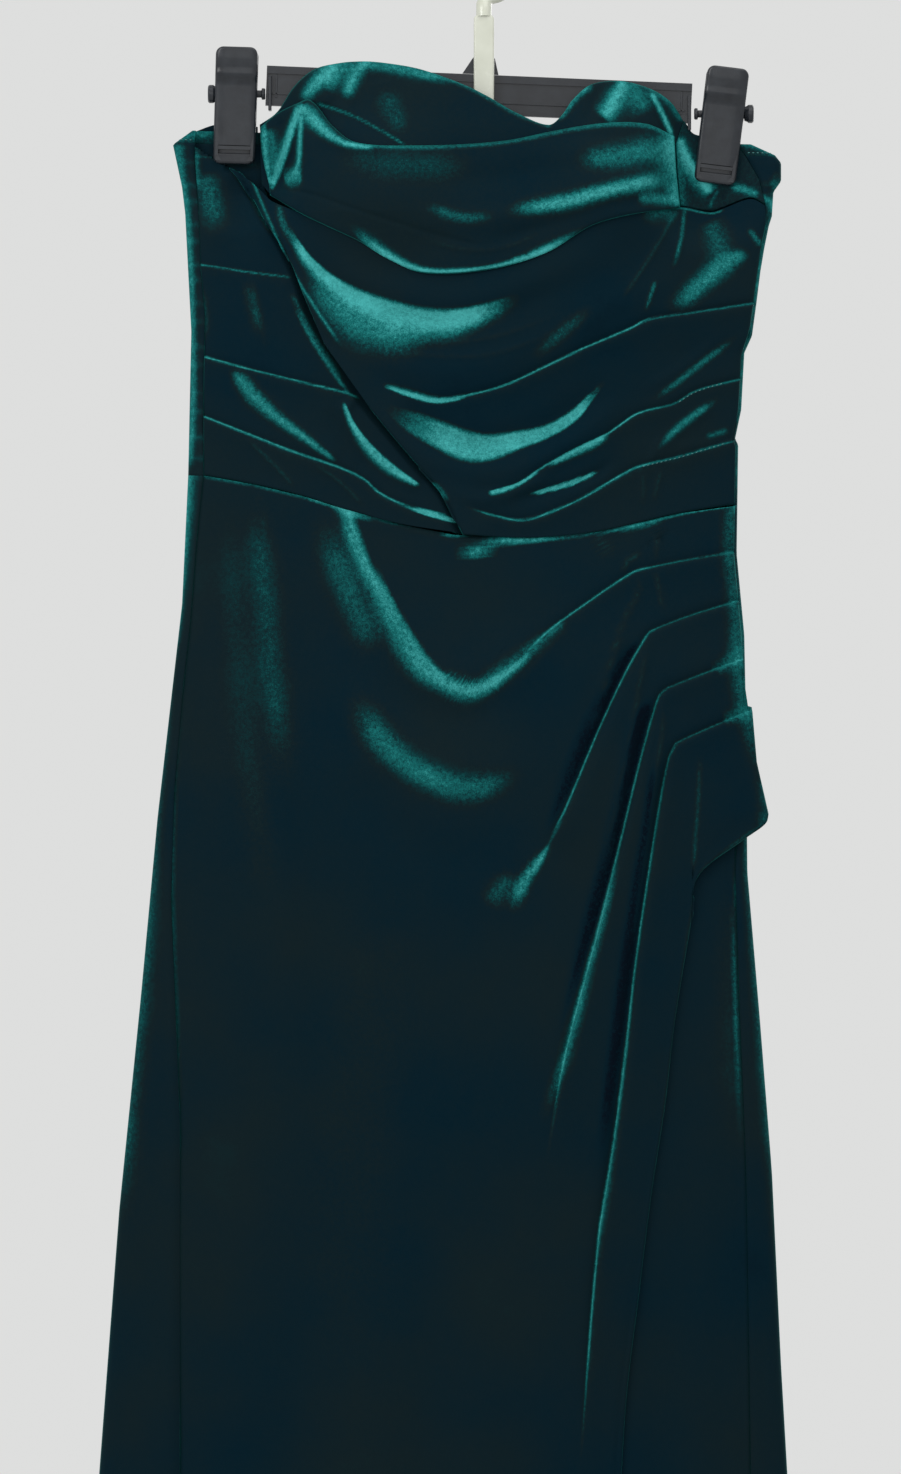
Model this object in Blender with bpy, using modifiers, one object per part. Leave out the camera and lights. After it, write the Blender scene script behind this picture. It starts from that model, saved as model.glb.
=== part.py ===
"""Strapless draped dress, hung flat by two clips on a hanger. Lengths are in millimetres until a mesh is made.

X runs to the right seen from the front, -Y to the front and +Z up. The origin is the inside top of the hook.
"""
import math
from collections import namedtuple

import bmesh
import bpy
import numpy as np
from mathutils import Matrix, Vector

MM = 0.001
COLLECTION = "strapless_dress_on_clip_hanger"

# Cloth
WALL = 1.6
SEAM_GAP = 0.5
ROW_APART = 0.7
FOLD_FADE = 30.0
PINCHED = 2.5
EDGE_RADIUS = 6.0
HEM_Z = -1460.0
OVERLAP_CLEARANCE = 3.4
UNDER_TUCK = 3.2

# Hanger
BAR_TILT = 2.43
BAR_LEFT = -141.5
BAR_RIGHT = 136.0
BAR_TOP = -88.6
BAR_HEIGHT = 26.0
BAR_FLANGE = 2.7
BAR_WEB = 1.4
FLANGE_HEIGHT = 5.0
SHANK_WIDTH = 13.3
SHANK_DEPTH = 6.0
SHANK_TOP = -49.7
SHANK_BOTTOM = -110.0
HOOK_RADIUS = 18.0
HOOK_WIRE = 3.6
CLIP_WIDTH = 26.0
PIN_RADIUS = 2.4

Clip = namedtuple("Clip", "side x z tilt inner_x outer_x pin_z")
CLIPS = (
    Clip("left", -162.0, -109.0, 1.7, -142.7, -180.0, -101.0),
    Clip("right", 155.0, -122.0, 7.0, 137.2, 176.0, -114.0),
)

# Half-section of the hung tube: how far the front and the back stand off the hanger's plane at each height
Depth = namedtuple("Depth", "z front back")
DEPTHS = (
    Depth(-80, 24, 8),
    Depth(-125, 33, 9),
    Depth(-180, 40, 12),
    Depth(-240, 35, 12),
    Depth(-300, 26, 11),
    Depth(-350, 20, 10),
    Depth(-390, 18, 11),
    Depth(-450, 22, 15),
    Depth(-540, 27, 20),
    Depth(-800, 29, 21),
    Depth(HEM_Z, 34, 26),
)

Cup = namedtuple("Cup", "x z height reach")
CUPS = (Cup(-72, -160, 13, 62), Cup(84, -152, 13, 58))

# The body's outline seen from the front, down each side
Edge = namedtuple("Edge", "z x")
LEFT_EDGE = (
    Edge(-118, -178), Edge(-124, -189), Edge(-134, -203), Edge(-148, -200), Edge(-162, -197), Edge(-179, -195),
    Edge(-256, -191), Edge(-349, -193), Edge(-434, -197), Edge(-486, -203), Edge(-573, -213), Edge(-691, -224),
    Edge(-829, -238), Edge(-1000, -251), Edge(HEM_Z, -285),
)
RIGHT_EDGE = (
    Edge(-131, 168), Edge(-136, 179), Edge(-141, 190), Edge(-146, 194), Edge(-158, 194), Edge(-165, 189),
    Edge(-181, 188), Edge(-187, 186), Edge(-202, 183), Edge(-217, 180.5), Edge(-237, 178), Edge(-259, 175),
    Edge(-270, 170), Edge(-307, 168), Edge(-326, 164), Edge(-330, 166), Edge(-401, 165), Edge(-454, 170),
    Edge(-502, 171), Edge(-609, 172), Edge(-703, 180), Edge(-804, 188), Edge(-931, 194), Edge(-1000, 198),
    Edge(HEM_Z, 222),
)
# Where the front panels are sewn to the back
LEFT_SEAM = (
    Edge(-125, -188), Edge(-142, -189), Edge(-180, -186), Edge(-213, -185), Edge(-246, -182), Edge(-295, -183),
    Edge(-350, -183), Edge(-387, -187), Edge(-450, -192), Edge(-486, -196), Edge(-556, -202), Edge(-627, -204),
    Edge(-770, -198), Edge(-1000, -198), Edge(HEM_Z, -203),
)
RIGHT_SEAM = (
    Edge(-131, 162), Edge(-142, 171), Edge(-158, 180), Edge(-175, 181), Edge(-202, 176), Edge(-233, 171),
    Edge(-252, 168), Edge(-272, 163), Edge(-308, 160), Edge(-328, 158), Edge(-369, 158), Edge(-430, 160),
    Edge(-480, 163), Edge(-609, 164), Edge(-703, 167), Edge(-804, 171), Edge(-1000, 174), Edge(HEM_Z, 180),
)
# The flounce swings out past the body
FLOUNCE_EDGE = (
    Edge(-131, 168), Edge(-330, 166), Edge(-401, 165), Edge(-454, 170), Edge(-502, 176), Edge(-537, 181),
    Edge(-571, 187), Edge(-600, 180), Edge(-651, 176), Edge(-1000, 198), Edge(HEM_Z, 222),
)

# A drape line runs across a panel: how far it stands proud, the cells down to the next line, and its points (x, z)
Drape = namedtuple("Drape", "name lift steps points")

WAIST = (
    (-183, -350), (-150, -356), (-115, -364.5), (-95, -371), (-60, -381), (-20, -389), (30, -391), (74, -387),
    (127, -375), (158, -369.6),
)

# The left edge of the draped front, which falls in a cascade over the side panel
CASCADE = (
    (-155, -163), (-144, -183), (-135, -194), (-122, -221), (-110, -255), (-86, -293), (-64, -320), (-46, -341),
    (-27, -362), (-14, -389.2),
)
CASCADE_OVER = 3.6
CASCADE_UNDER = 4.0
FRONT_START = -150.0
FRONT_STATIONS = (
    -145, -139, -133, -126, -119, -112, -104, -95, -86, -76, -66, -55, -44, -32, -20, -8, 6, 20, 35, 50, 65, 80, 95,
    110, 125, 140, 152, 160)
SIDE_LEFT_STATIONS = (
    -182, -175, -168, -160, -154, -147.8, -147.2, -139, -129, -118, -106, -93, -80, -66, -52, -38, -26, -17)

BODICE_FRONT = (
    Drape("top", 0, 2, (
        (-166, -149), (-158, -154), (-145, -165), (-138, -172), (-120, -180), (-81, -197), (-39, -214), (2, -212),
        (40, -202), (73, -186), (128, -176), (148, -180), (157, -177), (174, -171), (183.5, -175))),
    Drape("crescent", 3.5, 2, (
        (-160, -153), (-149, -165), (-135, -177), (-124, -203), (-102, -224), (-53, -243), (-15, -248), (23, -236),
        (75, -212), (128, -186), (150, -186), (182, -186))),
    Drape("below_crescent", 0, 2, (
        (-156, -160), (-147, -170), (-135, -181), (-122, -209), (-110, -229), (-85, -250), (-53, -259), (-15, -262),
        (36, -248), (90, -222), (140, -205), (178, -202))),
    Drape("bust_pleat", 5, 1, (
        (-150, -171), (-144, -177), (-135, -185), (-122, -213), (-110, -238), (-90, -268), (-65, -290), (-45, -298),
        (-29, -301), (1, -294), (36, -281), (96, -256), (107, -250), (142, -242), (173, -233))),
    Drape("under_bust_pleat", 0, 2, (
        (-148, -175), (-143, -180), (-135, -188), (-122, -216), (-110, -243), (-89, -273), (-65, -295), (-45, -302),
        (-29, -305), (2, -298), (37, -285), (97, -260), (108, -254), (143, -246), (173, -236.5))),
    Drape("lens_top", 2.5, 2, (
        (-135, -194), (-129, -204), (-122, -219), (-110, -249), (-86, -287), (-65, -304), (-38, -311), (-7, -322),
        (23, -322), (45, -316), (65, -302), (90, -284), (125, -266), (168, -252))),
    Drape("lens_foot", 2, 2, (
        (-122, -221), (-110, -252), (-96, -277), (-86, -290), (-75, -302), (-58, -316), (-39, -330), (-18, -341),
        (-1, -342), (21, -335), (57, -322), (100, -296), (140, -281), (163, -272))),
    Drape("rib_pleat", 5, 1, (
        (-86, -293), (-72, -307), (-64, -317), (-55, -328), (-40, -345), (-20, -358), (1, -361), (19, -356),
        (31, -352), (57, -337), (79, -326), (100, -310), (126, -304), (162, -288))),
    Drape("under_rib_pleat", 0, 2, (
        (-84, -296), (-72, -309), (-64, -319), (-55, -330), (-40, -348), (-20, -361.5), (2, -364.5), (20, -359.5),
        (32, -355.5), (58, -340.5), (80, -329.5), (101, -313.5), (127, -307.5), (162, -291.5))),
    Drape("small_lens", 2.5, 1, (
        (-50, -336), (-38, -352), (-20, -364), (0, -368.5), (29, -363), (52, -355), (75, -344), (110, -330),
        (163.5, -308))),
    Drape("waist_pleat", 4.5, 1, (
        (-38, -350), (-25, -364), (-10, -371), (10, -377), (27, -380), (52, -370), (74, -359), (101, -344),
        (127, -337), (161.5, -328))),
    Drape("under_waist_pleat", 0, 2, (
        (-32, -357), (-22, -369), (-8, -376), (10, -381.5), (28, -384), (54, -374), (77, -362.5), (103, -347.5),
        (129, -340.5), (161.5, -331.5))),
    Drape("waist", 0, 0, ((-14, -389.2), (30, -391), (74, -387), (127, -375), (161.6, -369))),
)

SIDE_LEFT = (
    Drape("top", 0, 1, ((-188, -125), (-177, -121), (-163, -119), (-149, -122))),
    Drape("bust_seam", 0, 2, ((-189, -142), (-176, -146), (-162, -148), (-147.5, -149))),
    Drape("under_arm", 0, 2, ((-186, -180), (-165, -184), (-142, -178))),
    Drape("first_pleat", 3.5, 1, ((-185, -213), (-170, -215), (-154, -218), (-123, -215))),
    Drape("under_first", 0, 2, ((-185, -216.5), (-170, -218.5), (-154, -221.5), (-121, -219))),
    Drape("rib", 1, 2, ((-182, -246), (-150, -253), (-106, -257))),
    Drape("second_pleat", 4, 1, ((-182.6, -274), (-141, -284), (-110, -291), (-83, -294))),
    Drape("under_second", 0, 2, ((-182.6, -277.5), (-141, -287.5), (-110, -294.5), (-80, -298))),
    Drape("flank", 1, 1, ((-183, -295), (-130, -308), (-90, -322), (-42, -344))),
    Drape("third_pleat", 4, 1, (
        (-183, -313), (-158, -322), (-133, -332), (-110, -340), (-88, -348), (-72, -358), (-55, -367), (-19, -378))),
    Drape("under_third", 0, 2, (
        (-183, -316.5), (-158, -325.5), (-133, -335.5), (-110, -343.5), (-88, -351.5), (-72, -362), (-55, -371),
        (-17, -383))),
    Drape("waist", 0, 0, ((-183, -350), (-150, -356), (-115, -364.5), (-95, -371), (-60, -381), (-15, -389.2))),
)

SIDE_RIGHT = (
    Drape("top", 0, 1, ((131, -119), (137, -127), (150, -129), (163.6, -131))),
    Drape("clip_line", 0, 1, ((125.5, -134), (140, -138), (155, -140), (172.6, -142))),
    Drape("jaw_foot", 0, 1, ((126.5, -155), (142, -158), (158, -156), (182.6, -158))),
    Drape("gathers", 0.5, 1, ((127.5, -166), (145, -170), (158, -168), (182, -167))),
    Drape("foot", 0, 0, ((128.5, -174.2), (148, -177.4), (157, -174.6), (174, -168.8), (183.5, -173.4))),
)

BUST_FRONT = (
    Drape("sweetheart", 0, 1, (
        (-146.5, -121), (-135, -113), (-123, -96), (-108, -85), (-81, -81), (-58, -83), (-39, -87), (-12, -97),
        (2, -104), (21, -115), (42, -123), (51, -116), (57, -107), (70, -96), (90, -94), (109, -99), (122, -107),
        (130, -118))),
    Drape("turned_edge", 0.5, 2, (
        (-146, -127), (-133, -119), (-119, -105), (-104, -95), (-81, -91), (-58, -93), (-39, -97), (-12, -107),
        (2, -114), (21, -124), (42, -131), (54, -125), (64, -115), (74, -107), (90, -104), (107, -109), (118, -117),
        (125, -128))),
    Drape("behind_cowl", 0, 2, ((-146, -142), (-100, -136), (-50, -138), (42, -150), (90, -136), (124.5, -145))),
    Drape("foot", 0, 0, (
        (-145, -160), (-138, -168), (-120, -177), (-81, -194), (-39, -210.5), (2, -209), (40, -199), (73, -183),
        (124, -173))),
)

COWL = (
    Drape("top", 0, 1, (
        (-146, -123), (-135, -114), (-121, -108), (-114, -106), (-107, -112), (-99, -123), (-83, -135), (-47, -137),
        (10, -134), (46, -127), (78, -122), (105, -122), (124, -129))),
    Drape("roll", 4.5, 2, (
        (-146, -130), (-135, -121), (-121, -115), (-110, -118), (-98, -131), (-80, -142), (-47, -144), (10, -141),
        (46, -134), (78, -129), (105, -129), (124.5, -136))),
    Drape("hollow", 1, 2, (
        (-145, -140), (-130, -135), (-112, -136), (-90, -150), (-47, -157), (10, -154), (60, -145), (105, -142),
        (125, -148))),
    Drape("belly", 2, 2, (
        (-143, -150), (-125, -155), (-90, -168), (-47, -178), (10, -176), (60, -163), (105, -155), (126, -158))),
    Drape("fall", 4.5, 1, (
        (-140, -160), (-120, -167), (-81, -191), (-64, -204), (-39, -214), (2, -212), (40, -201), (73, -182),
        (127.5, -171))),
    Drape("foot", 3, 0, (
        (-139, -163), (-120, -171), (-81, -196), (-64, -210), (-39, -220), (2, -218), (40, -207), (73, -188),
        (128, -176))),
)

# A fall line runs down the wrap skirt from the waist or the side seam to the hem
Fall = namedtuple("Fall", "name lift points")
PLEAT_STEP = 3.5
SIDE_SEAM_TOP = -372
FLOUNCE_TOP = -500
WRAP_FALLS = (
    Fall("side_seam", 0, (
        (-183, -350), (-190, -387), (-196, -450), (-199, -486), (-203, -556), (-204, -627), (-198, -770),
        (-198, -1000), (-203, HEM_Z))),
    Fall("hip", 0, ((-150, -356), (-152, -600), (-150, -1000), (-162, HEM_Z))),
    Fall("flank", 2, ((-115, -364.5), (-118, -480), (-116, -620), (-118, -1000), (-134, HEM_Z))),
    Fall("swag", 4, ((-95, -371), (-80, -408), (-64, -434), (-54, -463), (-66, -560), (-80, -1000), (-112, HEM_Z))),
    Fall("swag_inner", 0, ((-60, -381), (-48, -430), (-36, -474), (-44, -560), (-62, -1000), (-94, HEM_Z))),
    Fall("swag_low", 3, ((-20, -389), (-20, -440), (-25, -486), (-32, -580), (-50, -1000), (-78, HEM_Z))),
    Fall("front", 0, ((30, -391), (10, -430), (-14, -480), (-24, -560), (-40, -1000), (-64, HEM_Z))),
    Fall("front_inner", 1, ((74, -387), (50, -416), (4, -462), (-12, -500), (-18, -640), (-32, -1000), (-52, HEM_Z))),
    Fall("front_right", 0, (
        (127, -375), (100, -395), (50, -427), (10, -466), (-4, -505), (-12, -640), (-24, -1000), (-40, HEM_Z))),
    Fall("waist_corner", 0, (
        (158, -369.6), (129, -386), (72, -418), (20, -460), (2, -500), (-6, -640), (-16, -1000), (-30, HEM_Z))),
    Fall("hip_pleat", 5, (
        (158, -400), (129, -406), (100, -413), (69, -432), (35, -458), (12, -490), (4, -560), (-2, -700), (-8, -1000),
        (-22, HEM_Z))),
    Fall("hip_pleat_between", 1, (
        (159, -417), (133, -424), (100, -436), (72, -458), (46, -500), (25, -560), (12, -640), (6, -760),
        (2, -1000), (-12, HEM_Z))),
    Fall("second_pleat", 6, (
        (160, -431), (133, -442), (108, -452), (91, -480), (72, -529), (57, -566), (38, -610), (24, -680),
        (16, -800), (10, -1000), (-4, HEM_Z))),
    Fall("second_between", 1, (
        (161.6, -450), (137, -460), (112, -471), (98, -500), (79, -560), (60, -620), (42, -690), (30, -770),
        (20, -1000), (5, HEM_Z))),
    Fall("third_pleat", 6, (
        (166, -469), (144, -479), (115, -490), (103, -521), (88, -585), (74, -651), (62, -697), (51, -735),
        (40, -800), (30, -1000), (13, HEM_Z))),
    Fall("third_between", 1, (
        (168, -486), (148, -496), (121, -508), (110, -537), (99, -590), (88, -660), (76, -740), (62, -820),
        (46, -1000), (21, HEM_Z))),
    Fall("fourth_pleat", 6, (
        (172, -503), (153, -512), (124, -525), (117, -549), (109, -594), (99, -664), (92, -723), (84, -790),
        (72, -870), (62, -1000), (30, HEM_Z))),
    Fall("flounce_fold", 1, (
        (178, -537), (150, -547), (139, -571), (134, -627), (120, -720), (106, -820), (88, -950), (76, -1100),
        (39, HEM_Z))),
    Fall("slit_edge", 0, (
        (184, -572), (169, -588), (139, -613), (135, -640), (124, -707), (118, -759), (109, -817), (101, -881),
        (92, -957), (84, -1100), (48, HEM_Z))),
)
WRAP_ROWS = (0, 0.02, 0.045, 0.07, 0.095, 0.12, 0.15, 0.18, 0.21, 0.25, 0.29, 0.34, 0.4, 0.47, 0.55, 0.66, 0.78, 0.89, 1)

# Rows of the back, as the heights where they meet the left and the right seam
BackRow = namedtuple("BackRow", "left right lift")
BACK_ROWS = (
    BackRow(-133, -142, 0), BackRow(-142, -158, 0), BackRow(-161, -175, 1.2), BackRow(-180, -186, 0),
    BackRow(-196.5, -202, 1.2), BackRow(-213, -233, 0), BackRow(-216.5, -236.5, 1), BackRow(-246, -252, 1.5),
    BackRow(-260, -272, 0), BackRow(-274, -288, 1.5), BackRow(-277.5, -291.5, 0), BackRow(-295, -308, 1.2),
    BackRow(-313, -328, 0), BackRow(-316.5, -331.5, 0), BackRow(-350, -369.6, 0),
)
BAND_TOP = (-125, -134)
BACK_ACROSS = (
    -1, -0.988, -0.955, -0.9, -0.83, -0.75, -0.6, -0.4, -0.2, 0, 0.2, 0.4, 0.55, 0.68, 0.78, 0.88, 0.955, 0.988, 1)
UNDER_ROWS = (-369, -400, -440, -480, -520, -570, -620, -690, -770, -860, -950, -1050, -1160, -1300, HEM_Z)
UNDER_LEFT = 20.0

VELVET = ("green_velvet", (0.004, 0.045, 0.042, 1), 0.75, 0.0)
BLACK = ("black_plastic", (0.012, 0.012, 0.014, 1), 0.3, 0.0)
CREAM = ("cream_plastic", (0.72, 0.74, 0.66, 1), 0.35, 0.0)


# Curves and steps

def ease(value, low, high):
    """Goes smoothly from 0 at low to 1 at high."""
    t = min(max((value - low) / (high - low), 0.0), 1.0)
    return t * t * (3 - 2 * t)


def smooth_line(points, fractions):
    """Reads a smooth curve through the points at fractions of its length."""
    ends = [2 * np.array(points[0]) - points[1], *map(np.array, points), 2 * np.array(points[-1]) - points[-2]]
    dense = []
    for p0, p1, p2, p3 in zip(ends, ends[1:], ends[2:], ends[3:]):
        for t in np.linspace(0, 1, 8, endpoint=False):
            m1 = (p2 - p0) / 2
            m2 = (p3 - p1) / 2
            dense.append(
                p1 * (2 * t**3 - 3 * t**2 + 1) + m1 * (t**3 - 2 * t**2 + t)
                + p2 * (3 * t**2 - 2 * t**3) + m2 * (t**3 - t**2))
    dense.append(ends[-2])
    dense = np.array(dense, float)
    run = np.concatenate([[0], np.cumsum(np.linalg.norm(np.diff(dense, axis=0), axis=1))])
    wanted = np.array(fractions) * run[-1]
    return np.stack([np.interp(wanted, run, dense[:, i]) for i in range(dense.shape[1])], axis=1)


def edge_at(table, z):
    """The side position of an outline or a seam at one height."""
    return float(np.interp(-z, [-row.z for row in table], [row.x for row in table]))


# The hung tube's form

def held(x, z):
    """0 where a clip pinches the cloth flat, 1 where it hangs free."""
    free = 1.0
    for clip in CLIPS:
        low = clip.z - 38
        high = clip.z + 10
        nearest = min(max(z, low), high)
        lean = math.tan(math.radians(clip.tilt)) * (nearest - clip.z)
        away = math.hypot(x - clip.x - lean, z - nearest) - (CLIP_WIDTH / 2 + 3)
        free = min(free, ease(away, 0, 34))
    return free


def stand_off(x, z, depth, right_edge=RIGHT_EDGE):
    """The tube's half-depth at a point: a lens with rounded sides, flat at the clips."""
    left = edge_at(LEFT_EDGE, z)
    right = edge_at(right_edge, z)
    inset = max(min(x - left, right - x), 0.0)
    across = min(abs(2 * (x - left) / (right - left) - 1), 1.0)
    lens = EDGE_RADIUS + (depth - EDGE_RADIUS) * (1 - across**2.4)
    side = math.sqrt(max(1 - (1 - min(inset / EDGE_RADIUS, 1)) ** 2, 0))
    free = held(x, z)
    return PINCHED * (1 - free) * min(1, side * 2) + lens * side * free


def front_y(x, z, right_edge=RIGHT_EDGE):
    depth = float(np.interp(-z, [-row.z for row in DEPTHS], [row.front for row in DEPTHS]))
    for cup in CUPS:
        away = math.hypot(x - cup.x, z - cup.z) / cup.reach
        depth += cup.height * ease(1 - away, 0, 1)
    return -stand_off(x, z, depth, right_edge)


def back_y(x, z):
    depth = float(np.interp(-z, [-row.z for row in DEPTHS], [row.back for row in DEPTHS]))
    return stand_off(x, z, depth)


# Making objects

def link(obj, finish):
    name, colour, roughness, metallic = finish
    material = bpy.data.materials.get(name) or bpy.data.materials.new(name)
    material.use_nodes = True
    shader = material.node_tree.nodes["Principled BSDF"]
    shader.inputs["Base Color"].default_value = colour
    shader.inputs["Roughness"].default_value = roughness
    shader.inputs["Metallic"].default_value = metallic
    obj.data.materials.append(material)
    bpy.data.collections[COLLECTION].objects.link(obj)
    return obj


def cloth(name, grid, outwards=1):
    """A wall of cloth on a grid of outer points, rows from the top down and columns to the right."""
    rows = len(grid)
    columns = len(grid[0])
    bm = bmesh.new()
    bmesh.ops.create_grid(bm, x_segments=columns - 1, y_segments=rows - 1, size=1)
    for vert in bm.verts:
        column = round((vert.co.x + 1) / 2 * (columns - 1))
        row = round((1 - vert.co.y) / 2 * (rows - 1))
        vert.co = Vector(grid[row][column]) * MM
    if outwards < 0:
        bmesh.ops.reverse_faces(bm, faces=bm.faces)
    line_wall(bm)
    mesh = bpy.data.meshes.new(name)
    bm.to_mesh(mesh)
    bm.free()
    mesh.shade_smooth()
    link(bpy.data.objects.new(name, mesh), VELVET)


def line_wall(bm):
    """Closes an open sheet into a wall: a copy moved in level, so that rims stay level too, joined along the edge."""
    bm.normal_update()
    rim = [edge.link_loops[0] for edge in bm.edges if edge.is_boundary]
    rim = [(loop.link_loop_next.vert, loop.vert) for loop in rim]
    inwards = {}
    for vert in bm.verts:
        level = Vector((vert.normal.x, vert.normal.y, 0)).normalized()
        inwards[vert] = vert.co - level * WALL * MM
    copy = bmesh.ops.duplicate(bm, geom=list(bm.verts) + list(bm.edges) + list(bm.faces))
    inner = {vert: copy["vert_map"][vert] for vert in inwards}
    bmesh.ops.reverse_faces(bm, faces=[part for part in copy["geom"] if isinstance(part, bmesh.types.BMFace)])
    for vert, place_in in inwards.items():
        inner[vert].co = place_in
    for a, b in rim:
        bm.faces.new((a, b, inner[b], inner[a]))


def with_seam_gap(flat):
    """Draws the outer rows and columns of a grid of (x, z, lift) in by half a seam gap."""
    flat = np.array(flat, float)
    for edge, inner in ((flat[0], flat[1]), (flat[-1], flat[-2]), (flat[:, 0], flat[:, 1]), (flat[:, -1], flat[:, -2])):
        run = inner[:, :2] - edge[:, :2]
        length = np.maximum(np.linalg.norm(run, axis=1, keepdims=True), 1e-6)
        edge[:, :2] += run / length * SEAM_GAP / 2
    return flat


def sewn(points, left_seam, right_seam):
    """Starts and ends a drape line on the seams that the panel has there."""
    points = list(points)
    if left_seam:
        points[0] = (edge_at(left_seam, points[0][1]), points[0][1])
    if right_seam:
        points[-1] = (edge_at(right_seam, points[-1][1]), points[-1][1])
    return points


def drape_grid(drapes, columns, left_seam=None, right_seam=None, start=None, over=None, under=None, waist=False,
               stations=None):
    """Rows of (x, z, lift) along the drape lines, with plain rows between them.

    A line that starts or ends inside the panel goes on beside its neighbour, between the limits over and under.
    """
    fractions = np.linspace(0, 1, columns)
    count = len(drapes) - 1
    rows = []
    for number, drape in enumerate(drapes):
        line = smooth_line(sewn(drape.points, left_seam, right_seam), np.linspace(0, 1, 160))
        first = line[0, 0] if start is None else start
        last = line[-1, 0]
        x = first + (last - first) * fractions
        if stations is not None:
            x = np.array([first, *stations], float)
            x = np.where(x > 0, x / x[-1] * last, x)
        z = np.interp(x, line[:, 0], line[:, 1])
        if waist and number == count:
            z = np.interp(x, *zip(*WAIST))
        inside = np.clip(np.minimum(x - line[0, 0] + 1, line[-1, 0] + 1 - x) / FOLD_FADE, 0, 1)
        if over is not None:
            z = np.minimum(z, np.interp(x, *zip(*over)))
        if under is not None and number < count:
            z = np.where(x < line[0, 0], -1e4, z)
        rows.append(np.column_stack([x, z, drape.lift * inside]))
    if over is not None:
        floor = np.array([np.interp(row[:, 0], *zip(*WAIST)) for row in rows])
        ceiling = np.interp(rows[0][:, 0], *zip(*over))
    if under is not None:
        floor = np.array([np.interp(row[:, 0], *zip(*under)) for row in rows])
        ceiling = rows[0][:, 1]
        rows[-1][:, 1] = floor[-1]
    if over is not None or under is not None:
        apart = np.minimum(ROW_APART, (ceiling - floor[-1]) / (count + 1))
        for number, row in enumerate(rows[1:-1], 1):
            row[:, 1] = np.maximum(row[:, 1], floor[number] + (count - number) * apart)
            row[:, 1] = np.minimum(row[:, 1], rows[number - 1][:, 1] - apart)
        for number in range(1, count):
            room = np.minimum(rows[number - 1][:, 1] - rows[number][:, 1], rows[number][:, 1] - rows[number + 1][:, 1])
            rows[number][:, 2] *= np.clip((room - ROW_APART) / 2, 0, 1)
    grid = []
    for here, drape, ahead in zip(rows, drapes, rows[1:]):
        for step in range(drape.steps):
            t = step / drape.steps
            grid.append(here * (1 - t) + ahead * t)
    grid.append(rows[-1])
    return with_seam_gap(grid)


def front_points(flat, clearance=lambda x, z: 0.0, right_edge=RIGHT_EDGE):
    return [[(x, front_y(x, z, right_edge) - lift - clearance(x, z), z) for x, z, lift in row] for row in flat]


# Bodice

def build_bodice_front():
    foot = CASCADE + WAIST[-4:]
    flat = drape_grid(
        BODICE_FRONT, 0, right_seam=RIGHT_SEAM, start=FRONT_START, under=foot, stations=FRONT_STATIONS)
    for row in flat:
        for point in row:
            edge = float(np.interp(point[0], *zip(*foot)))
            point[2] += CASCADE_OVER * (1 - ease(point[1] - edge, 4, 24)) * (1 - ease(point[0], -10, 30))
    cloth("bodice_front", front_points(flat))


def build_side_left():
    over = ((-200, -100), (SIDE_LEFT_STATIONS[5], -100), (SIDE_LEFT_STATIONS[6], -163)) + tuple(
        (x + CASCADE_UNDER, z) for x, z in CASCADE[1:])
    flat = drape_grid(SIDE_LEFT, 0, left_seam=LEFT_SEAM, over=over, waist=True, stations=SIDE_LEFT_STATIONS)
    cloth("bodice_side_left", front_points(flat))


def build_side_right():
    cloth("bodice_side_right", front_points(drape_grid(SIDE_RIGHT, 9, right_seam=RIGHT_SEAM)))


def build_bust():
    cloth("bust_front", front_points(drape_grid(BUST_FRONT, 30)))
    cowl = drape_grid(COWL, 28)
    cloth("bust_cowl", front_points(cowl, lambda x, z: OVERLAP_CLEARANCE))


def back_row(left_z, right_z, lift):
    """One row of the back: from the left seam round the left side, across, and round to the right seam."""
    start = edge_at(LEFT_SEAM, left_z)
    end = edge_at(RIGHT_SEAM, right_z)
    left = edge_at(LEFT_EDGE, left_z)
    right = edge_at(RIGHT_EDGE, right_z)
    row = []
    for t in (0, 0.5, 0.85):
        x = start + (left - start) * t
        row.append((x, front_y(x, left_z), left_z))
    for across in BACK_ACROSS:
        t = (across + 1) / 2
        x = left + (right - left) * t
        z = left_z + (right_z - left_z) * t
        row.append((x, back_y(x, z) + lift * (1 - across**4), z))
    for t in (0.85, 0.5, 0):
        x = end + (right - end) * t
        row.append((x, front_y(x, right_z), right_z))
    return row


def back_panel(name, rows, top_gap, foot_gap):
    """A back panel, drawn in by half a seam gap all round."""
    grid = np.array([back_row(*row) for row in rows])
    half = SEAM_GAP / 2
    grid[0, :, 2] -= top_gap
    grid[-1, :, 2] += foot_gap
    for edge, inner in ((grid[:, 0], grid[:, 1]), (grid[:, -1], grid[:, -2])):
        run = inner - edge
        edge += run / np.maximum(np.linalg.norm(run, axis=1, keepdims=True), 1e-6) * half
    cloth(name, grid, outwards=-1)


def build_back():
    half = SEAM_GAP / 2
    top = (*BAND_TOP, 0)
    band_foot = (BACK_ROWS[0].left, BACK_ROWS[0].right, 0)
    back_panel("back_band", [top, band_foot], 0, half)
    back_panel("bodice_back", [tuple(row) for row in BACK_ROWS], half, half)
    rows = [(BACK_ROWS[-1].left, BACK_ROWS[-1].right, 0)]
    for left_z in smooth_line(WRAP_FALLS[0].points, WRAP_ROWS)[1:, 1]:
        t = (left_z - BACK_ROWS[-1].left) / (HEM_Z - BACK_ROWS[-1].left)
        rows.append((left_z, BACK_ROWS[-1].right + (HEM_Z - BACK_ROWS[-1].right) * t, 0))
    back_panel("skirt_back", rows, half, 0)


# Skirt

def wrap_clearance(x, z):
    """The wrap rises off the under panel towards its open edge."""
    return OVERLAP_CLEARANCE * ease(x, -110, -10) * ease(-z, 425, 485)


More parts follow.
